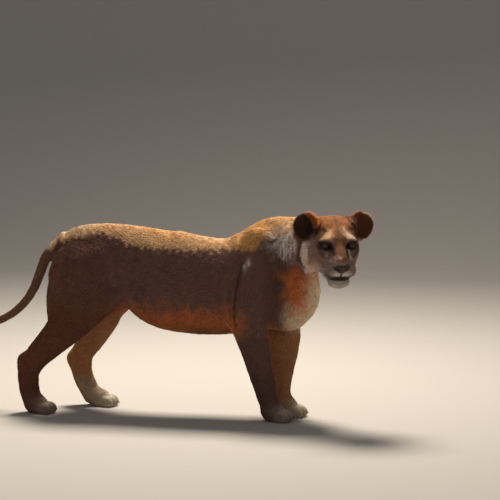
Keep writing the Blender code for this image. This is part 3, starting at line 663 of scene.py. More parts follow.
@dataclass
class Head:
    """Skull, muzzle, lids and ears, in a frame midway between the eyes that faces her right."""

    place: tuple[float, float, float] = (0.462, -0.19, 0.872)
    yaw: float = -68.2
    pitch: float = 13.0
    eye_place: tuple[float, float, float] = (-0.008, 0.0605, 0.0)
    eye_radius: float = 0.0205
    lid_thickness: float = 0.0035
    ear_height: float = 0.128
    ear_width: float = 0.126

    def __post_init__(self) -> None:
        """Sets up the head's frame."""
        self.frame = Frame(np.array(self.place), turned(self.yaw, self.pitch))

    def eye_centre(self, side: int) -> Array:
        """The middle of an eyeball."""
        return self.frame.point((self.eye_place[0], side * self.eye_place[1], self.eye_place[2]))

    def ear_frame(self, side: int) -> Frame:
        """The frame of an ear, which faces along its x with its tip along z."""
        place = self.frame.point((-0.118, side * 0.131, 0.055))
        return Frame(place, self.frame.axes @ turned(12 if side > 0 else -32, -6, -side * 24))

    def skull(self) -> list[Shape]:
        """Crown, brow, bridge of the nose, cheeks, jaw muscles and the ruff behind them."""
        head = self.frame
        bridge = [
            (-0.03, 0, 0.004, 0.036, 0.04),
            (0.03, 0, -0.02, 0.033, 0.033),
            (0.07, 0, -0.047, 0.027, 0.03),
            (0.086, 0, -0.06, 0.02, 0.026),
        ]
        shapes: list[Shape] = [
            head.egg((-0.11, 0, 0.014), (0.112, 0.102, 0.092), 0.03),
            head.egg((-0.04, 0, 0.014), (0.06, 0.076, 0.047), 0.03),
            head.limb(bridge, 0.03),
        ]
        for side in (-1, 1):
            ruff = 0.092 if side < 0 else 0.073
            shapes += [
                head.egg((-0.038, side * 0.066, -0.028), (0.064, 0.04, 0.044), 0.03),
                head.egg((-0.098, side * 0.073, -0.05), (0.08, 0.04, 0.085), 0.03),
                head.egg((-0.118, side * ruff, -0.098), (0.06, 0.49 * ruff, 0.07), 0.04),
                head.egg((0.004, side * 0.052, -0.066), (0.05, 0.032, 0.048), 0.03),
                head.egg((-0.1, side * 0.062, 0.066), (0.055, 0.042, 0.034), 0.03),
                head.egg((-0.008, side * 0.052, 0.028), (0.024, 0.034, 0.014), 0.02, (0, 0, -side * 10)),
            ]
        return shapes

    def muzzle(self) -> list[Shape]:
        """Upper jaw, whisker pads, chin, lower jaw and nose, with the line of the mouth cut in."""
        head = self.frame
        upper = [(-0.06, 0, -0.085, 0.075, 0.085), (-0.01, 0, -0.085, 0.065, 0.07),
                 (0.045, 0, -0.095, 0.048, 0.058)]
        lower = [(-0.07, 0, -0.125, 0.05, 0.075), (-0.01, 0, -0.145, 0.038, 0.06),
                 (0.048, 0, -0.156, 0.03, 0.046)]
        shapes: list[Shape] = [head.limb(upper, 0.03)]
        shapes += [head.egg((0.052, side * 0.036, -0.105), (0.044, 0.042, 0.036), 0.018) for side in (-1, 1)]
        shapes += [
            head.limb(lower, 0.025),
            head.egg((0.05, 0, -0.166), (0.032, 0.05, 0.028), 0.015),
            head.egg((0.088, 0, -0.079), (0.018, 0.036, 0.02), 0.008, (0, 20, 0)),
        ]
        corners = [(0.014, 0.082, -0.135), (0.068, 0.058, -0.142)]
        line = [(x, -y, z, 0.007, 0.006) for x, y, z in corners] + [(0.1, 0, -0.141, 0.007, 0.006)]
        line += [(x, y, z, 0.007, 0.006) for x, y, z in reversed(corners)]
        return shapes + [head.limb(line, 0.006, (0, 0, 1), 10, True)]

    def lids(self) -> list[Shape]:
        """For each eye a soft socket, the lids round the eyeball, and the slit between them."""
        shapes: list[Shape] = []
        for side in (-1, 1):
            x, y, z = self.eye_place[0], side * self.eye_place[1], self.eye_place[2]
            round_lid = (self.eye_radius + self.lid_thickness,) * 3
            shapes += [
                self.frame.egg((x + 0.016, y + side * 0.003, z), (0.02, 0.03, 0.019), 0.016,
                               (side * 24, 0, -side * 8), True),
                self.frame.egg((x, y, z), round_lid, 0.006),
                self.frame.egg((x + 0.02, y + side * 0.006, z), (0.022, 0.0225, 0.0066), 0.003,
                               (side * 22, 0, side * 15), True),
            ]
        return shapes

    def ear(self, side: int) -> list[Shape]:
        """A round ear: an egg on a thick root, hollowed from the front.

        Args:
            side: 1 on the left, -1 on the right.

        Returns:
            The egg, its root and the hollow.
        """
        ear, half_width, half_height = self.ear_frame(side), self.ear_width / 2, self.ear_height / 2
        return [
            ear.egg((0, 0, 0), (0.034, half_width, half_height), 0.012),
            ear.egg((-0.012, -side * 0.012, -0.045), (0.034, 0.042, 0.04), 0.03),
            ear.egg((0.024, 0, 0.004), (0.04, half_width - 0.01, half_height - 0.01), 0.006, cut=True),
        ]

    def shapes(self) -> list[Shape]:
        """All of the head's shapes, in order."""
        return self.skull() + self.muzzle() + self.lids() + self.ear(-1) + self.ear(1)

    def creases(self) -> list[Crease]:
        """Folds of the lids and brow, the edges of the cheeks, the pads' rows and the cleft of the lip."""
        sides = [
            (((0.02, 0.034, 0.004), (0.022, 0.052, 0.019), (0.01, 0.08, 0.018)), 0.002, 0.003),
            (((0.026, 0.036, -0.016), (0.022, 0.058, -0.026), (0.006, 0.084, -0.016)), 0.0022, 0.0035),
            (((0.03, 0.03, -0.012), (0.048, 0.03, -0.036), (0.062, 0.034, -0.062)), 0.0022, 0.005),
            (((0.06, 0.04, -0.064), (0.03, 0.07, -0.078), (-0.006, 0.084, -0.104)), 0.0024, 0.006),
            (((-0.05, 0.11, 0.01), (-0.06, 0.125, -0.04), (-0.056, 0.116, -0.1)), 0.003, 0.008),
            (((-0.106, 0.142, 0.025), (-0.104, 0.145, -0.03), (-0.102, 0.144, -0.09), (-0.084, 0.12, -0.145)),
             0.01, 0.0095, 0.5),
            (((0.02, 0.01, 0.04), (-0.006, 0.012, 0.062), (-0.04, 0.012, 0.084)), 0.0012, 0.006),
        ]
        for z in (-0.097 - 0.012 * row for row in range(3)):
            keys = ((0.094, 0.024, z), (0.078, 0.06, z - 0.002), (0.048, 0.074, z - 0.004))
            sides.append((keys, 0.0009, 0.0026))
        cleft = [(((0.108, 0, -0.092), (0.104, 0, -0.112), (0.096, 0, -0.138)), 0.0055, 0.003)]
        return folds(-1, sides, self.frame) + folds(1, sides, self.frame) + folds(1, cleft, self.frame)


@dataclass
class Lioness:
    """The whole animal as one soft shape."""

    trunk: Trunk = field(default_factory=Trunk)
    fore: tuple[ForeLeg, ForeLeg] = field(default_factory=lambda: (ForeLeg(-1), ForeLeg(1)))
    hind: tuple[HindLeg, HindLeg] = field(default_factory=lambda: (HindLeg(-1), HindLeg(1)))
    tail: Tail = field(default_factory=Tail)
    head: Head = field(default_factory=Head)

    def __post_init__(self) -> None:
        """Gathers the shapes and the creases of every part."""
        legs = [*self.fore, *self.hind]
        self.all_shapes = [shape for part in (self.trunk, *legs, self.tail, self.head)
                           for shape in part.shapes()]
        self.all_creases = [crease for part in (self.trunk, *legs, self.head) for crease in part.creases()]

    def coat_depth(self, points: Array) -> Array:
        """How far the skin lies under the tips of the coat: most on the trunk, least on face and feet.

        Args:
            points: places, a row each.

        Returns:
            The depth at each point.
        """
        head = self.head.frame.local(points)
        body = 0.003 * step(points[:, 2], 0.02, 0.08) + 0.0028 * step(points[:, 2], 0.35, 0.55)
        on_head = step(np.linalg.norm(head - (-0.04, 0, -0.02), axis=1), 0.24, 0.15)
        face = step(head[:, 0], -0.1, 0.03)
        depth = body * (1 - on_head) + on_head * (0.003 - 0.0021 * face)
        depth = np.where(points[:, 0] < -1.0, np.minimum(depth, 0.0045), depth)
        depth = np.where(points[:, 0] < -1.48, 0.014 * step(points[:, 0], -1.46, -1.56) + 0.0045, depth)
        for side in (-1, 1):
            ear = self.head.ear_frame(side).local(points) / (0.05, 0.075, 0.075)
            near = step(np.linalg.norm(ear, axis=1), 1.25, 0.95)
            depth = depth * (1 - near) + 0.0012 * near
        return depth

    def skin(self, points: Array) -> Array:
        """The field of the skin: the soft shape, sunk by the coat's depth and the creases, and flat
        under the soles.

        Args:
            points: places, a row each.

        Returns:
            A number for each point, below 0 inside.
        """
        surface = melted(self.all_shapes, points) + self.coat_depth(points)
        for crease in self.all_creases:
            surface += crease.offset(points)
        return np.maximum(surface, 0.0006 - points[:, 2])


# ---- Surfaces from fields ----


def grid_lines(stops: Sequence[tuple[float, float]]) -> Array:
    """Grid lines whose spacing changes smoothly between stops of (place, spacing).

    Args:
        stops: places in order, with the spacing at each.

    Returns:
        The places of the lines, in order.
    """
    places, gaps = np.array(stops).T
    lines = [places[0]]
    while lines[-1] < places[-1]:
        lines.append(lines[-1] + np.interp(lines[-1], places, gaps))
    return np.array(lines)


def padded_lines(lines: Array, every: int) -> Array:
    """The lines with a few more at the end, so that every so-manieth is the last."""
    missing = -(len(lines) - 1) % every
    return np.append(lines, lines[-1] + (lines[-1] - lines[-2]) * np.arange(1, missing + 1))


def join_corner_contacts(values: Array, depth: float) -> None:
    """Puts all four corners of a grid square inside where only two opposite ones are, because two
    sheets of the surface would share an edge there.

    Args:
        values: the function on the grid, changed in place.
        depth: how far inside the joined corners are put.
    """
    for _ in range(3):
        for axis in range(3):
            layers = np.moveaxis(values, axis, 0)
            rows, columns = layers.shape[1] - 1, layers.shape[2] - 1
            square = [layers[:, i : rows + i, j : columns + j] for i, j in np.ndindex(2, 2)]
            a, b, c, d = [corner < 0 for corner in square]
            contact = (a == d) & (b == c) & (a != b)
            for corner in square:
                corner[contact] = np.minimum(corner[contact], -depth)


def sampled(function: Field, axes: Sequence[Array], every: int) -> Array:
    """The function on a grid: worked out on every so-manieth line, filled in between, and worked out
    again at each point that may be near the surface.

    Args:
        function: gives a distance-like number for rows of points.
        axes: the grid's lines along x, y and z.
        every: how many fine lines there are to a coarse one.

    Returns:
        The values, as a three-dimensional array.
    """
    coarse = [axis[::every] for axis in axes]
    grid = np.stack(np.meshgrid(*coarse, indexing="ij"), axis=-1)
    values = function(grid.reshape(-1, 3)).reshape(grid.shape[:3]).astype(np.float32)
    for k in range(3):
        line = np.arange(len(axes[k]))
        before = np.minimum(line // every, len(coarse[k]) - 2)
        part = (axes[k] - coarse[k][before]) / (coarse[k][before + 1] - coarse[k][before])
        part = part.astype(np.float32).reshape([-1 if m == k else 1 for m in range(3)])
        values = np.take(values, before, k) * (1 - part) + np.take(values, before + 1, k) * part
    steps = [np.gradient(axis).astype(np.float32) for axis in axes]
    sizes = np.stack(np.meshgrid(*steps, indexing="ij")).max(axis=0)
    near = np.nonzero(np.abs(values) < 1.4 * every * sizes)
    points = np.stack([axes[k][near[k]] for k in range(3)], axis=1)
    values[near] = function(points)
    return values


def zero_surface(function: Field, axes: Sequence[Array], every: int = 4) -> tuple[Array, Array]:
    """The surface where a function is zero: one point in each grid cell that it crosses, at the mean
    of its crossings of the cell's edges, and one quad across each crossed edge.

    Args:
        function: gives a distance-like number for rows of points, below zero inside.
        axes: the grid's lines along x, y and z.
        every: how many fine lines there are to a coarse one.

    Returns:
        The points and the quads, facing outwards.
    """
    axes = [padded_lines(axis, every) for axis in axes]
    values = sampled(function, axes, every)
    join_corner_contacts(values, 1e-4)
    inside = values < 0
    shape = tuple(size - 1 for size in values.shape)
    corners = np.zeros(shape, np.int8)
    for i, j, k in np.ndindex(2, 2, 2):
        corners += inside[i : i + shape[0], j : j + shape[1], k : k + shape[2]]
    crossed = (corners > 0) & (corners < 8)
    cells = np.argwhere(crossed)
    number = np.full(shape, -1, np.int32)
    number[crossed] = np.arange(len(cells))
    total, count = np.zeros((len(cells), 3)), np.zeros(len(cells))
    for axis in range(3):
        across = [k for k in range(3) if k != axis]
        for u, v in np.ndindex(2, 2):
            start = np.zeros(3, int)
            start[across] = (u, v)
            first, second = cells + start, cells + start + np.eye(3, dtype=int)[axis]
            a, b = values[tuple(first.T)], values[tuple(second.T)]
            crosses = (a < 0) != (b < 0)
            place = np.tile(start.astype(float), (len(cells), 1))
            place[:, axis] = a / np.where(crosses, a - b, 1)
            total += place * crosses[:, None]
            count += crosses
    low = np.stack([axes[k][cells[:, k]] for k in range(3)], axis=1)
    high = np.stack([axes[k][cells[:, k] + 1] for k in range(3)], axis=1)
    points = low + total / count[:, None] * (high - low)
    return points, np.vstack([quads_across(inside, number, axis) for axis in range(3)])


def quads_across(inside: Array, number: Array, axis: int) -> Array:
    """The quads round the grid edges that run along axis and cross the surface, facing outwards.

    Args:
        inside: which grid points lie inside.
        number: the number of the point in each grid cell.
        axis: 0, 1 or 2 for x, y or z.

    Returns:
        Four point numbers for each quad.
    """
    before, after = [slice(None)] * 3, [slice(None)] * 3
    before[axis], after[axis] = slice(0, -1), slice(1, None)
    edges = np.argwhere(inside[tuple(before)] != inside[tuple(after)])
    u, v = (axis + 1) % 3, (axis + 2) % 3
    within = [(edges[:, k] > 0) & (edges[:, k] < inside.shape[k] - 1) for k in (u, v)]
    edges = edges[within[0] & within[1]]
    ring = []
    for du, dv in ((1, 1), (0, 1), (0, 0), (1, 0)):
        cell = edges.copy()
        cell[:, u] -= du
        cell[:, v] -= dv
        ring.append(number[tuple(cell.T)])
    quads = np.stack(ring, axis=1)
    turned_round = ~inside[tuple(edges.T)]
    quads[turned_round] = quads[turned_round][:, ::-1]
    return quads


def settled(function: Field, points: Array, gap: float = 0.0006, most: float = 0.004) -> Array:
    """Points moved once onto the zero surface, by value times slope over slope squared.

    Args:
        function: gives a distance-like number for rows of points.
        points: places near the surface.
        gap: how far apart the slope's samples are.
        most: the furthest that a point may move.

    Returns:
        The moved points.
    """
    here = function(points)
    slope = np.stack([(function(points + gap * axis) - here) / gap for axis in np.eye(3)], axis=1)
    move = here[:, None] * slope / ((slope**2).sum(axis=1)[:, None] + 1e-3)
    length = np.linalg.norm(move, axis=1)[:, None]
    return points - move * np.minimum(1.0, most / (length + 1e-9))


# ---- Colours of the coat, shared by the skin and the tufts ----


def tone(red: int, green: int, blue: int) -> Array:
    """A colour given as it looks on a screen, 0 to 255, as linear light."""
    share = np.array([red, green, blue]) / 255
    return np.where(share <= 0.04045, share / 12.92, ((share + 0.055) / 1.055) ** 2.4)


class Tone(Enum):
    """The colours of her coat and bare skin, some of them with painted sunlight, shade or bounce light in
    them.
    """

    # Her own tawny gold, brightened as painted sunlight on the back.
    BACK = (214, 162, 98)
    # Painted glow of sunlight at the lower edge of the gold and over the rump.
    BACK_PALE = (230, 196, 160)
    # Her own brown, darkened as painted shade on the flank.
    FLANK = (116, 82, 72)
    # Painted warm bounce light from the floor on the low flank.
    LOW_FLANK = (196, 106, 58)
    # The belly's own warm tone with painted bounce light from the floor in it.
    BELLY = (164, 96, 44)
    NECK_GREY = (255, 240, 230)
    NECK = (94, 64, 56)
    CHEST = (222, 122, 58)
    CHEST_CREAM = (248, 218, 184)
    HAM = (102, 56, 40)
    LEG = (106, 74, 66)
    LEG_INSIDE = (176, 122, 80)
    PAW = (196, 182, 160)
    TOE = (238, 226, 204)
    TAIL = (116, 84, 60)
    TUFT = (44, 31, 25)
    CROWN = (142, 82, 26)
    STREAK = (104, 60, 36)
    CHEEK = (174, 136, 122)
    # Darker temple fur with painted shade from the ear.
    TEMPLE = (160, 136, 132)
    RUFF = (246, 220, 206)
    BRIDGE = (134, 86, 52)
    BROW = (196, 160, 116)
    # Painted shade in the eye sockets; also the whisker dots and dark mottles of the muzzle.
    SOCKET = (80, 50, 44)
    MUZZLE = (158, 130, 112)
    LIP_WHITE = (232, 222, 206)
    CHIN = (206, 194, 184)
    DARK_SKIN = (28, 19, 17)
    EAR_INSIDE = (118, 66, 38)
    # The black of the ears' backs; also painted shade in creases and in the cups of the ears.
    EAR_BACK = (32, 19, 12)
    # Painted rim light along the edge of the ear.
    EAR_RIM = (214, 176, 134)
    # Hair of the ear's inner edge, gold with painted sunlight.
    EAR_GOLD = (172, 98, 42)

    def light(self) -> Array:
        """The tone as linear light."""
        return tone(*self.value)


@dataclass
class Markings:
    """The colour of the coat at any place, from soft-edged regions of her body and head, some of them
    painted sunlight, shade or bounce light.
    """

    lioness: Lioness
    back_line: Keys = (
        (-0.995, 0.839), (-0.947, 0.894), (-0.881, 0.921), (-0.781, 0.936), (-0.65, 0.941), (-0.455, 0.922),
        (-0.255, 0.89), (-0.158, 0.882), (-0.086, 0.888), (-0.039, 0.908), (0.009, 0.934), (0.056, 0.961),
        (0.103, 0.978), (0.15, 0.988), (0.4, 0.99),
    )

    def __call__(self, points: Array, normals: Array) -> Array:
        """Colours for rows of points and their outward directions, as linear red, green and blue.

        Args:
            points: places, a row each.
            normals: outward directions, a row each.

        Returns:
            A colour for each point.
        """
        # The flank's brown, darkened as painted shade, is where every colour starts.
        colour = np.tile(Tone.FLANK.light(), (len(points), 1))
        self.body(points, normals, colour)
        self.neck(points, colour)
        self.legs(points, normals, colour)
        self.tail(points, colour)
        self.face(points, normals, colour)
        patchy = 1 + 0.08 * ripple(points, 0.16, 3) + 0.07 * ripple(points, 0.045, 4)
        return np.clip(colour * patchy[:, None], 0.0, 1.0)

    @staticmethod
    def lay(colour: Array, over: Tone, mask: Array) -> None:
        """Mixes a tone into the colours by a mask, which is kept from 0 to 1."""
        colour += (over.light() - colour) * np.clip(mask, 0, 1)[:, None]

    def body(self, points: Array, normals: Array, colour: Array) -> None:
        """Golden back, her own tawny gold brightened with painted sunlight, with a ragged edge and a pale
        painted glow of sunlight along it and over the rump; a flank darkened with painted shade over her
        own brown; warm painted bounce light on the low flank; a belly of her own warm tone with painted
        bounce light; painted shade in the dark line of the fold behind each shoulder; and a pale scar before
        the right one.

        Args:
            points: places, a row each.
            normals: outward directions, a row each.
            colour: the colours so far, changed in place.
        """
        lay = partial(self.lay, colour)
        x, y, z = points.T
        up = normals[:, 2]
        line = np.interp(x, *np.transpose(self.back_line))
        below = line - z
        ragged = 0.022 * ripple(points * (1, 1, 0.35), 0.028, 5) + 0.018 * ripple(points, 0.1, 6)
        depth = np.interp(x, (-0.98, -0.88, -0.7, -0.58, -0.45, -0.3, -0.15, -0.05, 0.05, 0.2, 0.3),
                          (0.03, 0.04, 0.045, 0.075, 0.085, 0.072, 0.048, 0.062, 0.108, 0.104, 0.1))
        edge = below - depth + 0.8 * ragged
        # Painted sunlight: the gold of the back brightened in a band with a ragged lower edge.
        lay(Tone.BACK, step(edge, 0.016, -0.014))
        lay(Tone.HAM, 0.55 * step(x, -0.6, -0.85) * step(edge, 0.0, 0.03))
        # Painted glow of sunlight: pale along the lower edge of the gold band and over the rump's top.
        pale = step(edge, 0.012, -0.008) * step(edge, -0.075, -0.045)
        pale = pale * step(x, -0.76, -0.6) * step(x, 0.02, -0.12)
        lay(Tone.BACK_PALE, 0.4 * pale + 0.85 * step(x, -0.66, -0.8) * step(edge, 0.01, -0.02))
        freckle = step(ripple(points * (0.6, 1, 1), 0.026, 16), 1.05, 1.4) * step(z, 0.8, 0.86)
        lay(Tone.STREAK, 0.45 * freckle)
        # Painted warm bounce light on the low flank.
        lay(Tone.LOW_FLANK, 0.9 * step(z + ragged, 0.59, 0.48) * step(x, -0.75, -0.6) * step(x, 0.05, -0.06))
        # The belly's warm tone, with painted bounce light, on faces turned down.
        lay(Tone.BELLY, step(-up, 0.45, 0.9) * step(z, 0.6, 0.5))
        # Painted shade: a dark line in the fold behind each shoulder.
        fold = np.interp(z, (0.44, 0.49, 0.56, 0.654, 0.73, 0.8),
                         (-0.02, -0.042, -0.045, -0.03, -0.012, 0.002))
        fold_shade_span = step(z, 0.44, 0.5) * step(z, 0.8, 0.76) * (np.abs(y) > 0.09)
        lay(Tone.EAR_BACK, 0.85 * bell(x, fold, 0.0065) * fold_shade_span)
        scar = bell(x, 0.022 + 0.008 * np.sign(z - 0.77), 0.01) * bell(z, 0.772, 0.026) * (y < -0.08)
        lay(Tone.NECK_GREY, 0.75 * scar)

    def neck(self, points: Array, colour: Array) -> None:
        """Grey streaks under the gold of the neck, brown below, then the orange and cream breast.

        Args:
            points: places, a row each.
            colour: the colours so far, changed in place.
        """
        lay = partial(self.lay, colour)
        x, y, z = points.T
        reach = step(x, 0.06, 0.17) * step(z, 0.44, 0.52)
        streaks = ripple(points * (1, 1, 0.16), 0.016, 14)
        lay(Tone.NECK, reach * step(z, 0.915, 0.88))
        grey = bell(z + 0.02 * streaks, 0.892, 0.052) * step(x, 0.08, 0.2)
        lay(Tone.NECK_GREY, 1.1 * grey * (0.66 + 0.7 * streaks) * np.where(y > 0, 0.5, 1.0))
        lay(Tone.STREAK, 0.35 * reach * step(streaks, 0.5, 1.0) * step(z, 0.9, 0.8))
        rough = 0.02 * ripple(points * (1, 1, 0.45), 0.045, 19)
        slant = x + 0.3 * (z - 0.65) + rough
        orange = step(slant, 0.16, 0.245) * step(z + rough, 0.785, 0.705) * step(z, 0.47, 0.56)
        lay(Tone.CHEST, orange * (0.85 + 0.2 * streaks))
        cream = step(x - 0.9 * np.abs(y + 0.03) + 1.6 * rough, 0.19, 0.31) * step(z + rough, 0.77, 0.64)
        lay(Tone.CHEST_CREAM, 1.15 * cream)
        low = step(z + 0.02 * streaks + rough, 0.62, 0.49) * step(x, 0.15, 0.23)
        lay(Tone.CHEST_CREAM, 0.85 * low)

    def legs(self, points: Array, normals: Array, colour: Array) -> None:
        """Brown outsides, paler insides, dark backs of the hocks, and cream toes.

        Args:
            points: places, a row each.
            normals: outward directions, a row each.
            colour: the colours so far, changed in place.
        """
        lay = partial(self.lay, colour)
        x, y, z = points.T
        side = np.sign(y)
        inner = step(-normals[:, 1] * side, -0.1, 0.7)
        fore, hind = (x > -0.3), (x < -0.55)
        shin = hind * (y > 0.06) * step(z, 0.2, 0.11) * step(normals[:, 0] - normals[:, 1], -0.2, 0.8)
        low = step(z, 0.47, 0.38)
        lay(Tone.LEG, fore * low * (1 - 0.6 * inner))
        lay(Tone.EAR_BACK, 0.08 * step(z, 0.34, 0.18) * (y < 0.02))
        lay(Tone.LEG_INSIDE, fore * low * (0.8 * inner + 0.3 * (y > 0.02)))
        haunch = step(z, 0.64, 0.44) * step(x, -0.5, -0.66)
        lay(Tone.HAM, hind * haunch * (1 - 0.6 * inner))
        lay(Tone.LEG_INSIDE, hind * haunch * (0.8 * inner + 0.6 * (y > 0.06)))
        lay(Tone.PAW, 0.6 * shin)
        back = step(-normals[:, 0], 0.55, 0.9) * step(z, 0.2, 0.27) * step(z, 0.44, 0.36) * hind
        lay(Tone.EAR_BACK, 0.35 * back)
        for leg in (*self.lioness.fore, *self.lioness.hind):
            top = leg.paw().frame().local(points)
            near = step(np.linalg.norm(top[:, :2] - (0.02, 0), axis=1), 0.12, 0.075)
            front = (0.52 if leg.side > 0 else 0.3) * step(top[:, 0], -0.04, 0.03)
            lay(Tone.PAW, near * step(z, 0.11, 0.05) * (0.12 + front))
            toes = near * step(top[:, 0], 0.0, 0.035) * step(normals[:, 2], 0.3, 0.75) * step(z, 0.11, 0.085)
            lay(Tone.TOE, (0.6 if leg.side > 0 else 0.3) * toes)

    @staticmethod
    def on_tail(points: Array) -> Array:
        """True on the tail."""
        x, y, z = points.T
        return (x < -1.0) & (np.abs(y) < 0.062) & (z > 0.37) & ((x < -1.18) | (z > 0.42 - 1.2 * (x + 1.1)))

    def tail(self, points: Array, colour: Array) -> None:
        """A grey-brown tail with a blackish tuft.

        Args:
            points: places, a row each.
            colour: the colours so far, changed in place.
        """
        x = points[:, 0]
        on_tail = self.on_tail(points)
        self.lay(colour, Tone.TAIL, on_tail * step(x, -1.0, -1.04))
        self.lay(colour, Tone.TUFT, step(x + 0.01 * ripple(points, 0.02, 7), -1.44, -1.5) * on_tail)

    def face(self, points: Array, normals: Array, colour: Array) -> None:
        """Crown, brows, eye surrounds, cheeks, muzzle, lips, chin and ears.

        Args:
            points: places, a row each.
            normals: outward directions, a row each.
            colour: the colours so far, changed in place.
        """
        head = self.lioness.head
        near = np.nonzero(np.linalg.norm(points - head.place, axis=1) < 0.36)[0]
        if not len(near):
            return
        spot = points[near]
        local = head.frame.local(spot)
        shade = colour[near]
        self.crown(spot, local, shade)
        self.cheeks(spot, local, shade)
        self.eyes(spot, local, shade)
        self.muzzle(spot, local, shade)
        for side in (-1, 1):
            self.ear(spot, normals[near], shade, side)
        colour[near] = shade

    @staticmethod
    def on_head(local: Array) -> Array:
        """From 0 on the neck and breast to 1 on the head, whose edge slants forward below the jaw."""
        x, y, z = local.T
        return step(x - 1.6 * np.maximum(-z - 0.12, 0), -0.145, -0.11)

    def crown(self, spot: Array, local: Array, shade: Array) -> None:
        """Orange forehead with a dark streak and freckles, orange bridge, and sloping pale brows.

        Args:
            spot: places near the head, a row each.
            local: the same places in the face's frame.
            shade: their colours so far, changed in place.
        """
        lay = partial(self.lay, shade)
        x, y, z = local.T
        w = np.abs(y)
        rough = 0.006 * ripple(spot, 0.02, 8)
        on_head = self.on_head(local)
        lay(Tone.CHEEK, on_head)
        lay(Tone.CROWN, step(x, -0.26, -0.18) * step(z + rough, 0.022, 0.056) * step(w, 0.125, 0.09))
        pale = step(ripple(spot * (1, 1, 2.2), 0.03, 18), 0.3, 1.2)
        pale = pale * step(z, 0.05, 0.065) * step(w, 0.085, 0.06)
        lay(Tone.BROW, 0.35 * pale * (x > -0.13))
        dark = step(ripple(spot, 0.011, 9), 0.8, 1.3) * step(z, 0.03, 0.05) * step(w, 0.08, 0.06)
        lay(Tone.STREAK, 0.65 * dark * on_head)
        lay(Tone.STREAK, 0.95 * bell(y, -0.003, 0.0075) * step(z, 0.044, 0.058) * step(x, -0.13, -0.09))
        lay(Tone.BRIDGE,
            on_head * step(w + rough, 0.036, 0.02) * step(x, -0.02, 0.01) * step(z, -0.06, -0.04))
        slant = z - 0.045 + 0.45 * (w - 0.055) + 1.2 * rough
        brow = step(slant, -0.016, -0.01) * step(slant, 0.026, 0.004) * bell(w, 0.056, 0.03)
        brow = brow * step(x, -0.07, -0.03)
        lay(Tone.BROW, 1.25 * brow * on_head)
        lay(Tone.RUFF, 0.3 * brow * on_head * (y > 0))

    def cheeks(self, spot: Array, local: Array, shade: Array) -> None:
        """A dark streaky temple below each ear, darker fur with painted shade from the ear on it, a cheek
        that pales to the edge of the ruff, and a line of painted shade in the crease at the ruff's edge.

        Args:
            spot: places near the head, a row each.
            local: the same places in the face's frame.
            shade: their colours so far, changed in place.
        """
        lay = partial(self.lay, shade)
        x, y, z = local.T
        w = np.abs(y)
        streaks = ripple(spot * (1, 1, 0.3), 0.014, 15)
        # Darker streaky fur below the ear, with painted shade from the ear.
        temple = bell(x, -0.095, 0.055) * bell(w, 0.125, 0.04) * bell(z, 0.03, 0.035)
        lay(Tone.TEMPLE, temple * (1.0 + 0.35 * streaks))
        lay(Tone.TEMPLE,
            0.35 * step(streaks, 0.3, 1.0) * step(w, 0.08, 0.105) * step(x, -0.15, -0.1) * (z < 0.04))
        edge = step(x, -0.1, -0.09) * step(x, -0.045, -0.075) * step(w, 0.095, 0.115) * step(z, 0.015, -0.025)
        lay(Tone.RUFF, 1.1 * edge * step(z, -0.16, -0.135))
        low = step(z, -0.075, -0.125) * step(w, 0.06, 0.095) * step(x, -0.105, -0.085)
        lay(Tone.RUFF, 0.65 * low * self.on_head(local))
        # Painted shade: a dark line in the crease at the edge of the ruff.
        lay(Tone.EAR_BACK, 0.8 * bell(x, -0.106, 0.007) * step(w, 0.112, 0.13) * bell(z, -0.055, 0.075))

    def eyes(self, spot: Array, local: Array, shade: Array) -> None:
        """Sockets darkened with painted shade from the brows, darker at the lids and the inner corners, with
        a pale streak below the nose side.

        Args:
            spot: places near the head, a row each.
            local: the same places in the face's frame.
            shade: their colours so far, changed in place.
        """
        lay = partial(self.lay, shade)
        x, y, z = local.T
        w = np.abs(y)
        rough = 0.006 * ripple(spot, 0.014, 10)
        # Painted shade from the brow over each eye socket.
        socket = ((w - 0.06) / 0.038) ** 2 + ((z + 0.012) / 0.042) ** 2
        lay(Tone.SOCKET, 0.85 * step(socket + 22 * rough, 1.15, 0.7) * (x > -0.04))
        inner = bell(w - 0.3 * (z + 0.02), 0.034, 0.0075) * step(z, -0.052, -0.034) * step(z, 0.018, 0.0)
        lay(Tone.SOCKET, 0.95 * inner * (x > 0.0))
        lids = ((w - 0.0625) / 0.031) ** 2 + ((z - 0.24 * (w - 0.0625)) / 0.015) ** 2
        lay(Tone.DARK_SKIN, 0.92 * step(lids, 1.05, 0.6) * (x > -0.022))
        under = bell(slope := z + 0.0245 - 0.16 * (w - 0.06), 0, 0.0042) * bell(w, 0.064, 0.019) * (x > -0.03)
        lay(Tone.CHEEK, 0.75 * under)
        streak = bell(w - 0.04 + 0.22 * z, 0, 0.0052) * step(z, -0.066, -0.05)
        streak = streak * step(z, -0.006, -0.016) * (x > 0.02)
        lay(Tone.LIP_WHITE, streak * (y > 0) * step(rough, -0.008, 0.0))
        for low, out in ((-0.038, 0.061), (-0.042, 0.031), (-0.034, 0.008), (-0.055, 0.046)):
            lay(Tone.RUFF, 0.55 * bell(z + rough, low, 0.0065) * bell(y, -out, 0.0085) * (x > 0.02))

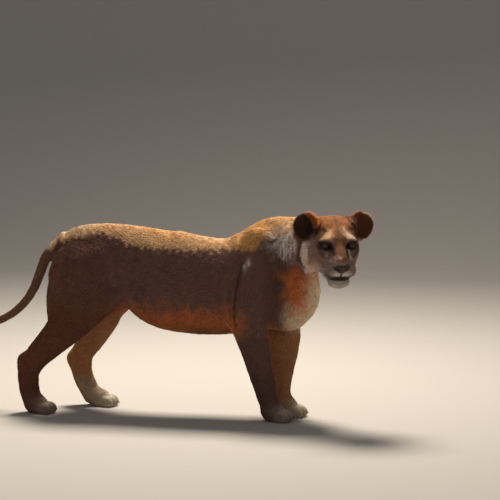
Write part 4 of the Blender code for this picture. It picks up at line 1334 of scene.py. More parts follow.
    def muzzle(self, spot: Array, local: Array, shade: Array) -> None:
        """Whisker pads with their rows of dots, white lip, black lip line and pale chin.

        Args:
            spot: places near the head, a row each.
            local: the same places in the face's frame.
            shade: their colours so far, changed in place.
        """
        lay = partial(self.lay, shade)
        x, y, z = local.T
        w = np.abs(y)
        rough = ripple(spot, 0.013, 11)
        lay(Tone.MUZZLE, step(z, -0.05, -0.07) * step(x, 0.0, 0.03))
        patch = bell(z, -0.041, 0.016) * bell(w, 0.034, 0.03) * (x > 0.015)
        lay(Tone.BROW, 0.6 * patch * step(rough, 0.0, 0.5))
        lay(Tone.SOCKET, 0.85 * patch * step(rough, -0.1, -0.7))
        lip = bell(w, 0.022, 0.024) * bell(z, -0.116, 0.015) * step(x, 0.05, 0.08)
        lay(Tone.LIP_WHITE, 1.15 * lip)
        dots = np.zeros(len(x))
        for row in range(4):
            for place in range(5):
                across, height = Whiskers.pad_place(row, place)
                dots = np.maximum(dots, bell(w, across, 0.0021) * bell(z, height, 0.0021))
        lay(Tone.SOCKET, 0.9 * dots * (x > 0.03))
        nose = bell(np.maximum(w - 0.026 * step(z, -0.115, -0.085), 0), 0, 0.006)
        lay(Tone.DARK_SKIN,
            nose * bell(np.maximum(np.abs(z + 0.08) - 0.013, 0), 0, 0.006) * step(x, 0.065, 0.08))
        cleft = bell(w, 0, 0.0034) * step(z, -0.084, -0.094) * step(z, -0.15, -0.14) * step(x, 0.06, 0.075)
        lay(Tone.DARK_SKIN, cleft)
        lay(Tone.CHIN, step(z, -0.146, -0.154) * step(x, -0.03, 0.015) * step(w, 0.09, 0.068))
        line = np.exp(-(((z + 0.1375 - 0.085 * w) / 0.016) ** 4))
        lay(Tone.DARK_SKIN, line * step(w, 0.098, 0.088) * step(x, -0.01, 0.01))

    def ear(self, points: Array, normals: Array, shade: Array, side: int) -> None:
        """Streaky inside with painted shade in its cup, a thin rim of painted light, a golden inner edge of
        hair with painted sunlight on her right ear, and a black patch on the back.

        Args:
            points: places, a row each.
            normals: outward directions, a row each.
            shade: their colours so far, changed in place.
            side: 1 on the left, -1 on the right.
        """
        lay = partial(self.lay, shade)
        frame = self.lioness.head.ear_frame(side)
        x, y, z = frame.local(points).T
        size = np.sqrt((y / 0.063) ** 2 + (z / 0.064) ** 2)
        on_ear = step(size, 1.35, 1.15) * step(z, -0.07, -0.045) * (np.abs(x) < 0.055)
        front = step(normals @ frame.axes[:, 0], -0.15, 0.25)
        streaks = ripple(points * (1, 1, 0.5), 0.01, 17)
        lay(Tone.CROWN if side < 0 else Tone.EAR_INSIDE, on_ear)
        lay(Tone.EAR_BACK, on_ear * (1 - front) * step(size, 1.0, 0.75))
        lay(Tone.EAR_INSIDE, on_ear * front * step(size, 1.02, 0.86))
        # Painted shade over the front of the ear, deepest in the middle of the cup, full on her right ear and
        # weak on her left.
        depth = step(np.abs(y + 0.01 * side), 0.045, 0.015) * step(size, 0.9, 0.5)
        lay(Tone.EAR_BACK, (1.0 if side < 0 else 0.3) * on_ear * front * np.maximum(depth, 0.75))
        # Painted rim light: a thin pale line along the edge, weaker on her right ear.
        rim = bell(size, 1.0, 0.045 if side < 0 else 0.07) * step(x, -0.024, -0.008)
        rim = rim * step(side * y + 0.5 * z, -0.01, 0.02)
        lay(Tone.EAR_RIM, on_ear * rim * (0.4 if side < 0 else 1.0))
        # The inner edge's hair, gold with painted sunlight on her right ear.
        inner_edge = step(-side * y, 0.016, 0.034) * step(z, -0.035, -0.01) * step(x, -0.024, -0.008)
        inner = Tone.EAR_GOLD if side < 0 else Tone.EAR_INSIDE
        lay(inner, on_ear * inner_edge * (0.95 + 0.3 * streaks))
        # Gold streaks of hair on the front, their gold partly painted sunlight.
        lay(Tone.EAR_GOLD, 0.3 * on_ear * front * step(streaks, 0.6, 1.1))


# ---- The lie of the coat ----


@dataclass
class Lie:
    """Which way the coat lies: strokes at places over the body, each felt most where it is near."""

    lioness: Lioness
    block: int = 40000

    def __post_init__(self) -> None:
        """Gathers the strokes of every part as places and directions."""
        strokes = self.trunk() + self.head()
        for leg in self.lioness.fore:
            strokes += self.along(leg.path()[:, :3])
        for leg in self.lioness.hind:
            strokes += self.along(leg.shank_path()[:, :3]) + self.along(leg.foot_path()[:, :3])
        for leg in (*self.lioness.fore, *self.lioness.hind):
            foot = leg.paw().frame()
            strokes += [(foot.point((ahead, 0, 0.05)), foot.axes @ (1, 0, -0.25)) for ahead in (0.0, 0.05)]
        tail = np.array(self.lioness.tail.keys + self.lioness.tail.tuft[1:])[:, :3]
        strokes += self.along(smooth_path(tail, 30)[3:])
        self.places = np.array([place for place, _ in strokes], np.float32)
        self.strokes = unit(np.array([stroke for _, stroke in strokes], float)).astype(np.float32)

    @staticmethod
    def along(path: Array) -> list[tuple[Array, Array]]:
        """Strokes down a path."""
        return list(zip(path, unit(np.gradient(path, axis=0))))

    @staticmethod
    def trunk() -> list[tuple[Row, Row]]:
        """Back along the spine, back and down over the flanks, down the neck and the breast."""
        strokes: list[tuple[Row, Row]] = []
        for side in (-1, 1):
            y = 0.12 * side
            strokes += [((x, 0.3 * y, 0.92), (-1, 0, -0.05)) for x in np.linspace(0.15, -0.85, 8)]
            strokes += [((x, y, 0.76), (-1, 0, -0.3)) for x in np.linspace(0.0, -0.8, 7)]
            strokes += [((x, y, 0.6), (-1, 0, -0.35)) for x in np.linspace(-0.08, -0.6, 5)]
            strokes += [((x, 0.7 * y, 0.44), (-1, 0, -0.1)) for x in np.linspace(0.0, -0.45, 4)]
            strokes += [((0.06, y, z), (-0.3, 0, -1)) for z in (0.78, 0.66, 0.54)]
            strokes += [((0.2, y, z), (-0.25, 0, -1)) for z in (0.8, 0.68, 0.56)]
            strokes += [((0.31, 0.4 * y, z), (-0.1, 0, -1)) for z in (0.72, 0.6, 0.5)]
            strokes += [((-0.78, y, 0.72), (-0.75, 0, -0.7)), ((-0.8, y, 0.6), (-0.6, 0, -1)),
                        ((-0.95, 0.4 * y, 0.8), (-0.5, 0, -1))]
        strokes += [((0.36, -0.13, 0.97), (-1, 0.45, -0.1)), ((0.27, -0.02, 0.98), (-1, 0.1, -0.1))]
        strokes += [((0.26, -0.16, 0.86), (-0.3, 0, -1)), ((0.25, -0.15, 0.76), (-0.2, 0, -1)),
                    ((0.42, 0.02, 0.86), (-0.5, 0.2, -1))]
        return strokes

    def head(self) -> list[tuple[Array, Array]]:
        """Up the bridge and over the crown, out over the cheeks, down the ruff, and up the ears."""
        face = self.lioness.head.frame
        rows = [
            ((0.09, 0, -0.05), (-1, 0, 0.7)), ((0.05, 0, -0.01), (-1, 0, 0.8)),
            ((0.0, 0, 0.05), (-0.8, 0, 1)),
            ((-0.06, 0, 0.1), (-1, 0, 0.2)), ((-0.13, 0, 0.105), (-1, 0, -0.2)),
        ]
        for s in (-1, 1):
            rows += [
                ((0.07, s * 0.05, -0.095), (-0.8, s * 0.8, -0.25)),
                ((0.03, s * 0.07, -0.075), (-1, s * 0.5, -0.2)),
                ((0.01, s * 0.085, -0.03), (-1, s * 0.5, -0.1)), ((0.0, s * 0.04, 0.035), (-0.6, s * 0.3, 1)),
                ((-0.02, s * 0.075, 0.03), (-0.8, s * 0.7, 0.6)),
                ((-0.06, s * 0.11, -0.02), (-0.8, s * 0.5, -0.6)),
                ((-0.09, s * 0.13, -0.06), (-0.5, s * 0.2, -1)), ((-0.11, s * 0.13, -0.12), (-0.4, 0, -1)),
                ((-0.03, s * 0.06, -0.15), (-0.7, s * 0.2, -1)),
                ((0.07, s * 0.03, -0.165), (-0.2, s * 0.3, -1)),
                ((0.09, s * 0.02, -0.11), (-0.4, s * 0.8, -0.5)),
            ]
        strokes = [(face.point(place), face.axes @ np.array(stroke, float)) for place, stroke in rows]
        for s in (-1, 1):
            ear = self.lioness.head.ear_frame(s)
            for angle in np.linspace(-2.2, 2.2, 9):
                out = np.array([0.0, math.sin(angle), math.cos(angle)])
                strokes.append((ear.point(out * 0.045), ear.axes @ (out + (0, 0, 0.5))))
        return strokes

    def __call__(self, points: Array, normals: Array) -> Array:
        """The direction along the skin at each point: the strokes' mean, weighted by one over the
        distance to the fourth power, less its part along the normal.

        Args:
            points: places, a row each.
            normals: outward directions, a row each.

        Returns:
            A direction for each point, one long.
        """
        result = np.empty((len(points), 3))
        for start in range(0, len(points), self.block):
            part = points[start : start + self.block].astype(np.float32)
            gap = (part**2).sum(axis=1)[:, None] + (self.places**2).sum(axis=1) - 2 * part @ self.places.T
            weight = 1 / (np.maximum(gap, 0) + 3e-4) ** 2
            result[start : start + self.block] = weight @ self.strokes / weight.sum(axis=1)[:, None]
        result -= (result * normals).sum(axis=1)[:, None] * normals
        return unit(result)


# ---- Meshes and pieces ----


def new_piece(name: str, points: Array, faces: Array, offset: Array, smooth: bool = True) -> Piece:
    """An object at the origin with its place in its mesh.

    Args:
        name: the piece's name.
        points: places, one to a row, in her own frame.
        faces: rows of point numbers, all with as many corners.
        offset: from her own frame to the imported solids'.
        smooth: whether the faces are shaded smooth.

    Returns:
        The object, linked to the scene.
    """
    mesh = bpy.data.meshes.new(name)
    corners = faces.shape[1]
    mesh.vertices.add(len(points))
    mesh.vertices.foreach_set("co", (points + offset).astype(np.float32).ravel())
    mesh.loops.add(faces.size)
    mesh.loops.foreach_set("vertex_index", faces.astype(np.int32).ravel())
    mesh.polygons.add(len(faces))
    mesh.polygons.foreach_set("loop_start", np.arange(0, faces.size, corners, dtype=np.int32))
    mesh.polygons.foreach_set("use_smooth", np.full(len(faces), smooth))
    mesh.update(calc_edges=True)
    piece = bpy.data.objects.new(name, mesh)
    bpy.context.scene.collection.objects.link(piece)
    return piece


def places_of(mesh: bpy.types.Mesh) -> tuple[Array, Array]:
    """The places and outward directions of a mesh's points.

    Args:
        mesh: the mesh to read.

    Returns:
        The places and the directions, a row each.
    """
    places, normals = (np.empty(len(mesh.vertices) * 3, np.float32) for _ in range(2))
    mesh.vertices.foreach_get("co", places)
    mesh.vertices.foreach_get("normal", normals)
    return places.reshape(-1, 3).astype(float), normals.reshape(-1, 3).astype(float)


def set_colours(piece: Piece, colours: Array) -> None:
    """Gives a piece's points their colours, in the attribute that its finish reads.

    Args:
        piece: the piece to colour.
        colours: linear red, green and blue for each point.
    """
    attribute = piece.data.color_attributes.new("coat colour", "FLOAT_COLOR", "POINT")
    rows = np.column_stack([colours, np.ones(len(colours))])
    attribute.data.foreach_set("color", rows.astype(np.float32).ravel())


def thinned(piece: Piece, triangles: int) -> None:
    """Thins a piece's mesh to about this many triangles, keeping most where it bends.

    Args:
        piece: the piece to thin.
        triangles: how many triangles to keep.
    """
    have = sum(len(face.vertices) - 2 for face in piece.data.polygons)
    if have <= triangles:
        return
    thin = piece.modifiers.new("thin", "DECIMATE")
    thin.ratio = triangles / have
    old = piece.data
    graph = bpy.context.evaluated_depsgraph_get()
    piece.data = bpy.data.meshes.new_from_object(piece.evaluated_get(graph))
    piece.modifiers.clear()
    bpy.data.meshes.remove(old)
    piece.data.name = piece.name


@dataclass
class Skin:
    """The skin: one closed surface over the whole animal, under the coat."""

    lioness: Lioness
    markings: Markings
    offset: Array
    triangles: int = 185000

    def build(self, quick: bool) -> Piece:
        """Surfaces the field, finest over the head and feet, and colours it.

        Args:
            quick: whether to use coarser grid lines.

        Returns:
            The skin.
        """
        scale = 1.6 if quick else 1.0
        fine, foot, body = 0.0027 * scale, 0.0042 * scale, 0.0095 * scale
        axes = [
            grid_lines([(-1.68, body), (-1.16, body), (0.2, body), (0.27, fine), (0.64, fine)]),
            grid_lines([(-0.4, fine), (-0.12, fine * 1.1), (0.0, 0.0045 * scale), (0.12, 0.006 * scale),
                        (0.24, 0.006 * scale)]),
            grid_lines([(-0.01, foot), (0.1, foot), (0.16, body * 0.8), (0.62, body * 0.8), (0.67, fine),
                        (1.02, fine), (1.06, fine)]),
        ]
        points, quads = zero_surface(self.lioness.skin, axes)
        log.info("skin: %d points on the grid", len(points))
        points = settled(self.lioness.skin, points)
        piece = new_piece("skin", points, quads, self.offset)
        thinned(piece, self.triangles)
        piece.data.polygons.foreach_set("use_smooth", np.full(len(piece.data.polygons), True))
        places, normals = places_of(piece.data)
        shade = self.markings(places - self.offset, normals)
        under = 0.86 + 0.1 * ripple(places, 0.008, 12) + 0.06 * ripple(places, 0.004, 13)
        set_colours(piece, shade * under[:, None])
        return piece


class Region(Enum):
    """The pieces that the coat is made in, each with two places that its unwrap's axis runs through."""

    HEAD = ((0.33, 0.0, 0.8), (0.33, 0.0, 1.3))
    FACE = ((0.46, -0.19, 0.6), (0.46, -0.19, 1.1))
    NECK = ((0.36, -0.09, 0.87), (0.05, 0.0, 0.82))
    TRUNK_FRONT_RIGHT = ((0.4, 0.0, 0.66), (-0.4, 0.0, 0.66))
    TRUNK_FRONT_LEFT = ((0.4, 0.0, 0.661), (-0.4, 0.0, 0.661))
    TRUNK_BACK_RIGHT = ((-0.3, 0.0, 0.7), (-1.0, 0.0, 0.7))
    TRUNK_BACK_LEFT = ((-0.3, 0.0, 0.701), (-1.0, 0.0, 0.701))
    FORE_RIGHT = ((0.03, -0.09, 0.5), (0.12, -0.075, 0.0))
    FORE_LEFT = ((0.14, 0.09, 0.5), (0.15, 0.065, 0.0))
    HIND_RIGHT = ((-0.8, -0.12, 0.62), (-1.1, -0.12, 0.0))
    HIND_LEFT = ((-0.74, 0.11, 0.62), (-0.9, 0.115, 0.0))
    TAIL = ((-0.95, 0.0, 0.85), (-1.65, 0.0, 0.42))


@dataclass
class Coat:
    """The coat: leaf-shaped tufts of hair rooted all over the skin, each a closed lock of six faces."""

    lioness: Lioness
    markings: Markings
    lie: Lie
    offset: Array
    tufts: int = 232000
    most: int = 33000
    seed: int = 41

    def measures(self, points: Array, normals: Array) -> tuple[Array, Array, Array, Array]:
        """The tufts' length, width, lift and count per square metre at each point.

        Args:
            points: places on the skin, in her own frame.
            normals: outward directions there.

        Returns:
            Lengths and widths in metres, lifts as slopes, and counts.
        """
        x, y, z = points.T
        length, width = np.full(len(x), 0.019), np.full(len(x), 0.0034)
        lift, count = np.full(len(x), 0.16), np.full(len(x), 56000.0)

        def lay(mask: Array, long: float, wide: float, up: float, many: float) -> None:
            """Mixes in a region's measures by a mask from 0 to 1.

            Args:
                mask: the share to mix in at each root.
                long: the length of a tuft.
                wide: its width.
                up: how far it stands up.
                many: tufts to a square metre.
            """
            mask = np.clip(mask, 0, 1)
            for values, goal in ((length, long), (width, wide), (lift, up), (count, many)):
                values += (goal - values) * mask

        lay(step(normals[:, 2], 0.45, 0.85) * step(z, 0.84, 0.88), 0.023, 0.0034, 0.13, 74000)
        under = step(-normals[:, 2], 0.2, 0.8) * step(z, 0.36, 0.4) * step(z, 0.62, 0.52)
        lay(under, 0.026, 0.0036, 0.18, 52000)
        lay(step(x, 0.1, 0.22) * step(z, 0.62, 0.72), 0.032, 0.0038, 0.16, 60000)
        lay(step(x, 0.2, 0.3) * step(z, 0.8, 0.7), 0.029, 0.0038, 0.16, 56000)
        lay(step(z, 0.5, 0.38), 0.0145, 0.0028, 0.14, 72000)
        lay(step(z, 0.13, 0.07), 0.007, 0.002, 0.13, 130000)
        lay(step(z, 0.012, 0.004), 0.004, 0.0018, 0.05, 30000)
        lay(step(x, -1.02, -1.08) * (np.abs(y) < 0.062) * (z > 0.38), 0.015, 0.0028, 0.15, 70000)
        lay(step(x, -1.47, -1.53), 0.052, 0.0046, 0.16, 110000)
        face = self.lioness.head.frame.local(points)
        hx, hw, hz = face[:, 0], np.abs(face[:, 1]), face[:, 2]
        on_head = step(hx, -0.23, -0.15) * step(z, 0.64, 0.68) * (np.linalg.norm(face, axis=1) < 0.32)
        lay(on_head, 0.016, 0.0024, 0.16, 100000)
        lay(on_head * step(hw, 0.085, 0.115) * step(hz, 0.0, -0.05), 0.03, 0.003, 0.2, 110000)
        lay(on_head * step(hx, -0.1, -0.04) * step(hw, 0.105, 0.085), 0.0085, 0.0017, 0.16, 190000)
        lay(on_head * step(hx, -0.02, 0.02) * step(hw, 0.1, 0.08), 0.0055, 0.0013, 0.14, 260000)
        lay(on_head * step(hz, -0.136, -0.15) * step(hx, -0.04, 0.01), 0.012, 0.002, 0.15, 170000)
        for side in (-1, 1):
            ear = self.lioness.head.ear_frame(side).local(points)
            size = np.sqrt((ear[:, 1] / 0.063) ** 2 + (ear[:, 2] / 0.064) ** 2)
            on_ear = step(size, 1.3, 1.12) * step(ear[:, 2], -0.075, -0.055) * (np.abs(ear[:, 0]) < 0.055)
            lay(on_ear, 0.0075, 0.0017, 0.14, 170000)
            lay(on_ear * bell(size, 0.93, 0.08), 0.011, 0.0018, 0.2, 220000)
            inner_edge = step(side * ear[:, 1], -0.018, -0.036) * step(ear[:, 0], -0.022, -0.005)
            lay(on_ear * inner_edge, 0.022, 0.0024, 0.35, 200000)
        return length, width, lift, count * self.bare(face, points)

    def bare(self, face: Array, points: Array) -> Array:
        """1 where hair grows, and 0 on the soles, the nose, the lips and inside the lids.

        Args:
            face: the places in the face's frame.
            points: places, a row each.

        Returns:
            A share for each place.
        """
        x, w, z = face[:, 0], np.abs(face[:, 1]), face[:, 2]
        eye = ((w - 0.065) / 0.024) ** 2 + ((z - 0.24 * (w - 0.0625)) / 0.009) ** 2
        grows = 1 - step(eye, 1.25, 0.9) * (x > -0.03) * (np.linalg.norm(face, axis=1) < 0.15)
        nose = (x > 0.07) * (w < 0.038) * (z > -0.1) * (z < -0.06)
        lips = (np.abs(z + 0.139 - 0.085 * w) < 0.0132) * (x > -0.01) * (w < 0.094)
        cleft = (w < 0.0026) * (x > 0.07) * (z < -0.09) * (z > -0.145)
        grows = grows * (1 - (nose | lips | cleft))
        return grows * (points[:, 2] > 0.0035)

    def roots(self, skin: Piece) -> tuple[Array, Array]:
        """Places of the roots, spread over the skin so that each bit of it has its share.

        Args:
            skin: the finished skin.

        Returns:
            The roots' places, in her own frame, and the outward directions there.
        """
        mesh = skin.data
        places, normals = places_of(mesh)
        places -= self.offset
        mesh.calc_loop_triangles()
        corners = np.empty(len(mesh.loop_triangles) * 3, np.int32)
        mesh.loop_triangles.foreach_get("vertices", corners)
        corners = corners.reshape(-1, 3)
        a, b, c = (places[corners[:, k]] for k in range(3))
        area = np.linalg.norm(np.cross(b - a, c - a), axis=1) / 2
        middle = (a + b + c) / 3
        facing = unit(normals[corners].sum(axis=1))
        share = np.cumsum(area * self.measures(middle, facing)[3])
        chance = np.random.default_rng(self.seed)
        log.info("coat: %.2f square metres, %.0f tufts wanted", area.sum(), share[-1])
        number = min(self.tufts, int(share[-1]))
        at = (np.arange(number) + chance.random(number)) * share[-1] / number
        chosen = np.minimum(np.searchsorted(share, at), len(share) - 1)
        u, v = chance.random((2, number))
        over = u + v > 1
        u, v = np.where(over, 1 - u, u), np.where(over, 1 - v, v)
        weights = np.stack([1 - u - v, u, v], axis=1)[:, :, None]
        rows = corners[chosen]
        return (places[rows] * weights).sum(axis=1), unit((normals[rows] * weights).sum(axis=1))

    def region_of(self, points: Array) -> Array:
        """The number of the region that each root is in.

        Args:
            points: the roots, a row each.

        Returns:
            A region's number for each root.
        """
        x, y, z = points.T
        face = self.lioness.head.frame.local(points)
        names = list(Region)
        trunk = np.where(
            x > -0.33,
            np.where(y < 0, names.index(Region.TRUNK_FRONT_RIGHT), names.index(Region.TRUNK_FRONT_LEFT)),
            np.where(y < 0, names.index(Region.TRUNK_BACK_RIGHT), names.index(Region.TRUNK_BACK_LEFT)),
        )
        near_head = np.linalg.norm(face - (-0.05, 0, -0.02), axis=1) < 0.21
        near_head &= (face[:, 0] > -0.2) & (z > 0.655)
        rules = [
            (near_head & (face[:, 0] > -0.035), Region.FACE),
            (near_head, Region.HEAD),
            (Markings.on_tail(points), Region.TAIL),
            ((x > 0.12) & (z > 0.72 + 0.35 * (0.3 - x)), Region.NECK),
            ((z < 0.46) & (x > -0.09) & (y < -0.01) & (x < 0.34), Region.FORE_RIGHT),
            ((z < 0.46) & (x > 0.03) & (y > 0.01) & (x < 0.34), Region.FORE_LEFT),
            ((z < 0.56) & (x < -0.58) & (y < 0), Region.HIND_RIGHT),
            ((z < 0.56) & (x < -0.58) & (y >= 0), Region.HIND_LEFT),
        ]
        conditions = [condition for condition, _ in rules]
        return np.select(conditions, [names.index(region) for _, region in rules], trunk)

    def build(self, skin: Piece, quick: bool) -> list[Piece]:
        """Grows the coat in one piece for each region.

        Args:
            skin: the finished skin.
            quick: whether to grow a thinner coat.

        Returns:
            The pieces.
        """
        if quick:
            self.tufts = self.tufts // 2
        points, normals = self.roots(skin)
        region = self.region_of(points)
        pieces = []
        for number, name in enumerate(Region):
            rows = np.nonzero(region == number)[0]
            if len(rows) > self.most:
                log.info("coat %s is cut from %d tufts to %d", name.name, len(rows), self.most)
                rows = np.random.default_rng(self.seed).permutation(rows)[: self.most]
            pieces.append(self.piece(name, points[rows], normals[rows]))
            log.info("coat of %s: %d tufts", name.name.lower(), len(rows))
        return pieces

    def piece(self, region: Region, points: Array, normals: Array) -> Piece:
        """One region's tufts. A tuft's five points are its root, sunk in the skin, its widest place's
        left, right and ridge, and its tip, further along the lie of the coat.

        Args:
            region: which region.
            points: the roots.
            normals: outward directions at the roots.

        Returns:
            The piece.
        """
        chance = np.random.default_rng(self.seed + list(Region).index(region))
        number = len(points)
        length, width, lift, _ = self.measures(points, normals)
        length = length * chance.uniform(0.72, 1.25, number)
        width = width * chance.uniform(0.75, 1.25, number)
        lift = lift * (1 + 0.5 * ripple(points, 0.035, 21)) * chance.uniform(0.5, 1.5, number)
        along = self.lie(points, normals)
        sweep = 0.22 * ripple(points, 0.045, 22) + chance.normal(0, 0.1, number)
        across = np.cross(normals, along)
        along = unit(along + across * sweep[:, None])
        across = np.cross(normals, along)
        column = lambda values: values[:, None]
        root = points - normals * column(0.1 * length)
        middle = points + along * column(0.45 * length) + normals * column(0.45 * length * lift)
        tip = points + along * column(length) + normals * column(length * lift * 0.8)
        tip += across * column(chance.normal(0, 0.06, number) * length)
        thick = column(0.3 * width)
        places = np.stack([
            root,
            middle - across * column(width / 2) - normals * 0.4 * thick,
            middle + across * column(width / 2) - normals * 0.4 * thick,
            middle + normals * thick,
            tip,
        ], axis=1)
        places[:, :, 2] = np.maximum(places[:, :, 2], 0.0008)
        pattern = np.array([[0, 3, 1], [0, 2, 3], [0, 1, 2], [4, 1, 3], [4, 3, 2], [4, 2, 1]])
        faces = (pattern[None] + 5 * np.arange(number)[:, None, None]).reshape(-1, 3)
        piece = new_piece("coat_" + region.name.lower(), places.reshape(-1, 3), faces, self.offset)
        self.dress(piece, region, points, normals, pattern, chance)
        return piece

    def dress(self, piece: Piece, region: Region, points: Array, normals: Array, pattern: Array,
              chance: np.random.Generator) -> None:
        """Colours the tufts, darker at the root and paler at the tip, no two quite alike, and lays
        their patches on the unwrap of the skin round the region's axis.

        Args:
            piece: the region's tufts.
            region: the region.
            points: the roots, a row each.
            normals: outward directions, a row each.
            pattern: the point numbers of a tuft's triangles.
            chance: the random numbers.
        """
        number = len(points)
        colour = self.markings(points, normals)
        calm = 1 - 0.6 * step(colour.mean(axis=1), 0.35, 0.65)
        alike = 1 + calm * (0.15 * chance.normal(0, 1, number) + 0.12 * ripple(points, 0.012, 23))
        dark = chance.random(number) < 0.03 * calm
        alike = np.where(dark, 0.6, np.clip(alike, 0.6, 1.5))
        warm = 1 + 0.05 * chance.normal(0, 1, (number, 1)) * (1, 0, -1)
        shades = np.array([0.72, 0.98, 0.98, 1.03, 1.16])
        colours = (colour * warm * alike[:, None])[:, None, :] * shades[None, :, None]
        set_colours(piece, np.clip(colours.reshape(-1, 3), 0, 1))
        low, high = (np.array(end) for end in region.value)
        ahead = unit(high - low)
        up = np.array([0.0, 0.0, 1.0]) if abs(ahead[2]) < 0.8 else np.array([0.0, 1.0, 0.0])
        side = unit(np.cross(up, ahead))
        out = points - low
        angle = np.arctan2(out @ side, out @ np.cross(ahead, side))
        reach = out @ ahead
        fit = lambda values: 0.01 + 0.98 * (values - values.min()) / (np.ptp(values) + 1e-9)
        centre = np.stack([fit(angle), fit(reach)], axis=1)
        patch = 0.0015 * np.array([[0, -1], [-1, 0], [1, 0], [0, 0.3], [0, 1]])
        spots = centre[:, None, None, :] + patch[pattern][None]
        layer = piece.data.uv_layers.new(name="OFBake")
        layer.data.foreach_set("uv", spots.astype(np.float32).ravel())


def revolved(profile: Array, turns: int) -> tuple[Array, Array]:
    """A closed surface round the x axis. Its rings are the profile's rows of (x, radius) turned about
    x, and its first and last rows are poles.

    Args:
        profile: rows of x and radius; the first and last radius are taken as nothing.
        turns: how many points there are to a ring.

    Returns:
        The points and the triangles, facing outwards when x goes down along the profile.
    """
    angle = np.arange(turns) * 2 * math.pi / turns
    rings = profile[1:-1]
    circle = np.stack([np.zeros(turns), np.cos(angle), np.sin(angle)], axis=1)
    body = circle[None] * rings[:, 1][:, None, None] + np.array([1.0, 0, 0]) * rings[:, 0][:, None, None]
    points = np.vstack([[profile[0, 0], 0, 0], body.reshape(-1, 3), [profile[-1, 0], 0, 0]])
    this = np.arange(turns)
    after = (this + 1) % turns
    faces = [np.stack([np.zeros(turns, int), 1 + this, 1 + after], axis=1)]
    for ring in range(len(rings) - 1):
        a, b = 1 + ring * turns, 1 + (ring + 1) * turns
        faces.append(np.stack([a + this, b + this, b + after], axis=1))
        faces.append(np.stack([a + this, b + after, a + after], axis=1))
    last = len(points) - 1
    start = 1 + (len(rings) - 1) * turns
    faces.append(np.stack([start + this, np.full(turns, last), start + after], axis=1))
    return points, np.vstack(faces)


def spikes(paths: Array, radii: Array, sides: int) -> tuple[Array, Array]:
    """Many pointed round horns or hairs at once: a ring of points about each place of a path, square
    to it, and a point at each end.

    Args:
        paths: for each spike, its places from the root to the tip.
        radii: for each spike, its radius at each place.
        sides: how many sides it has.

    Returns:
        The points and the triangles of them all.
    """
    number, steps = paths.shape[:2]
    ahead = unit(np.gradient(paths, axis=1))
    helper = np.where(np.abs(ahead[..., 2:3]) < 0.8, np.array([0.0, 0, 1]), np.array([0.0, 1, 0]))
    left = unit(np.cross(helper, ahead))
    up = np.cross(ahead, left)
    angle = np.arange(sides) * 2 * math.pi / sides
    ring = left[:, :, None] * np.cos(angle)[:, None] + up[:, :, None] * np.sin(angle)[:, None]
    rings = paths[:, :, None] + ring * radii[:, :, None, None]
    tips = paths[:, -1:] + ahead[:, -1:] * radii[:, -1:, None]
    points = np.concatenate([rings.reshape(number, -1, 3), paths[:, :1], tips], axis=1)
    this = np.arange(sides)
    after = (this + 1) % sides
    pattern = []
    for row in range(steps - 1):
        a, b = row * sides, (row + 1) * sides
        pattern += [np.stack([a + this, a + after, b + after], 1),
                    np.stack([a + this, b + after, b + this], 1)]
    root, end, top = steps * sides, steps * sides + 1, (steps - 1) * sides
    pattern.append(np.stack([np.full(sides, root), after, this], 1))
    pattern.append(np.stack([np.full(sides, end), top + this, top + after], 1))
    each = points.shape[1]
    faces = np.vstack(pattern)[None] + each * np.arange(number)[:, None, None]
    return points.reshape(-1, 3), faces.reshape(-1, 3)


@dataclass
class Eye:
    """An eyeball with a raised cornea, looking ahead and a little out."""

    head: Head
    side: int
    offset: Array
    cornea_radius: float = 0.0112
    cornea_rise: float = 0.0008
    turns: int = 48

    def axes(self) -> Array:
        """The eye's axes; it looks along the first."""
        return self.head.frame.axes @ turned(self.side * 5, 2)

    def build(self) -> Piece:
        """A sphere turned about the gaze, raised over the cornea by a bell curve."""
        radius = self.head.eye_radius - 0.0003
        angle = np.linspace(0, math.pi, 34)
        across = radius * np.sin(angle)
        bulge = self.cornea_rise * np.exp(-((across / self.cornea_radius) ** 4)) * (angle < 1.5)
        ahead = radius * np.cos(angle) + bulge
        points, faces = revolved(np.column_stack([ahead, across]), self.turns)
        name = "eyeball_left" if self.side > 0 else "eyeball_right"
        return new_piece(name, self.head.eye_centre(self.side) + points @ self.axes().T, faces, self.offset)


@dataclass
class Nose:
    """The nose's bare pad, with two comma-shaped nostrils and the cleft below them."""

    head: Head
    offset: Array
    spacing: float = 0.0011

    def pad(self, points: Array) -> Array:
        """A broad pad narrowing to the cleft, less the nostrils.

        Args:
            points: places, a row each.

        Returns:
            A number for each point, below 0 inside.
        """
        face = self.head.frame
        shapes: list[Shape] = [
            face.egg((0.088, 0, -0.077), (0.019, 0.0385, 0.0185), 0.004, (0, 20, 0)),
            face.egg((0.09, 0, -0.094), (0.015, 0.019, 0.013), 0.012, (0, 10, 0)),
        ]
        shapes += [face.egg((0.093, s * 0.023, -0.078), (0.014, 0.0155, 0.0135), 0.008) for s in (-1, 1)]
        for s in (-1, 1):
            turn = (s * 20, 0, -s * 30)
            shapes.append(face.egg((0.107, s * 0.019, -0.085), (0.01, 0.008, 0.0046), 0.002, turn, True))
            turn = (s * 30, 0, s * 15)
            shapes.append(face.egg((0.1, s * 0.032, -0.0825), (0.012, 0.0095, 0.0024), 0.002, turn, True))
        cleft = [(0.113, 0, -0.074, 0.0016, 0.0016), (0.109, 0, -0.092, 0.0019, 0.0019),
                 (0.103, 0, -0.11, 0.002, 0.002)]
        shapes.append(face.limb(cleft, 0.002, cut=True))
        return melted(shapes, points)

    def build(self) -> Piece:
        """Surfaces the pad."""
        middle = self.head.frame.point((0.092, 0, -0.082))
        axes = [np.arange(c - 0.05, c + 0.05, self.spacing) for c in middle]
        points, quads = zero_surface(self.pad, axes, 2)
        points = settled(self.pad, points, 0.0003, 0.001)
        return new_piece("nose_pad", points, quads, self.offset)


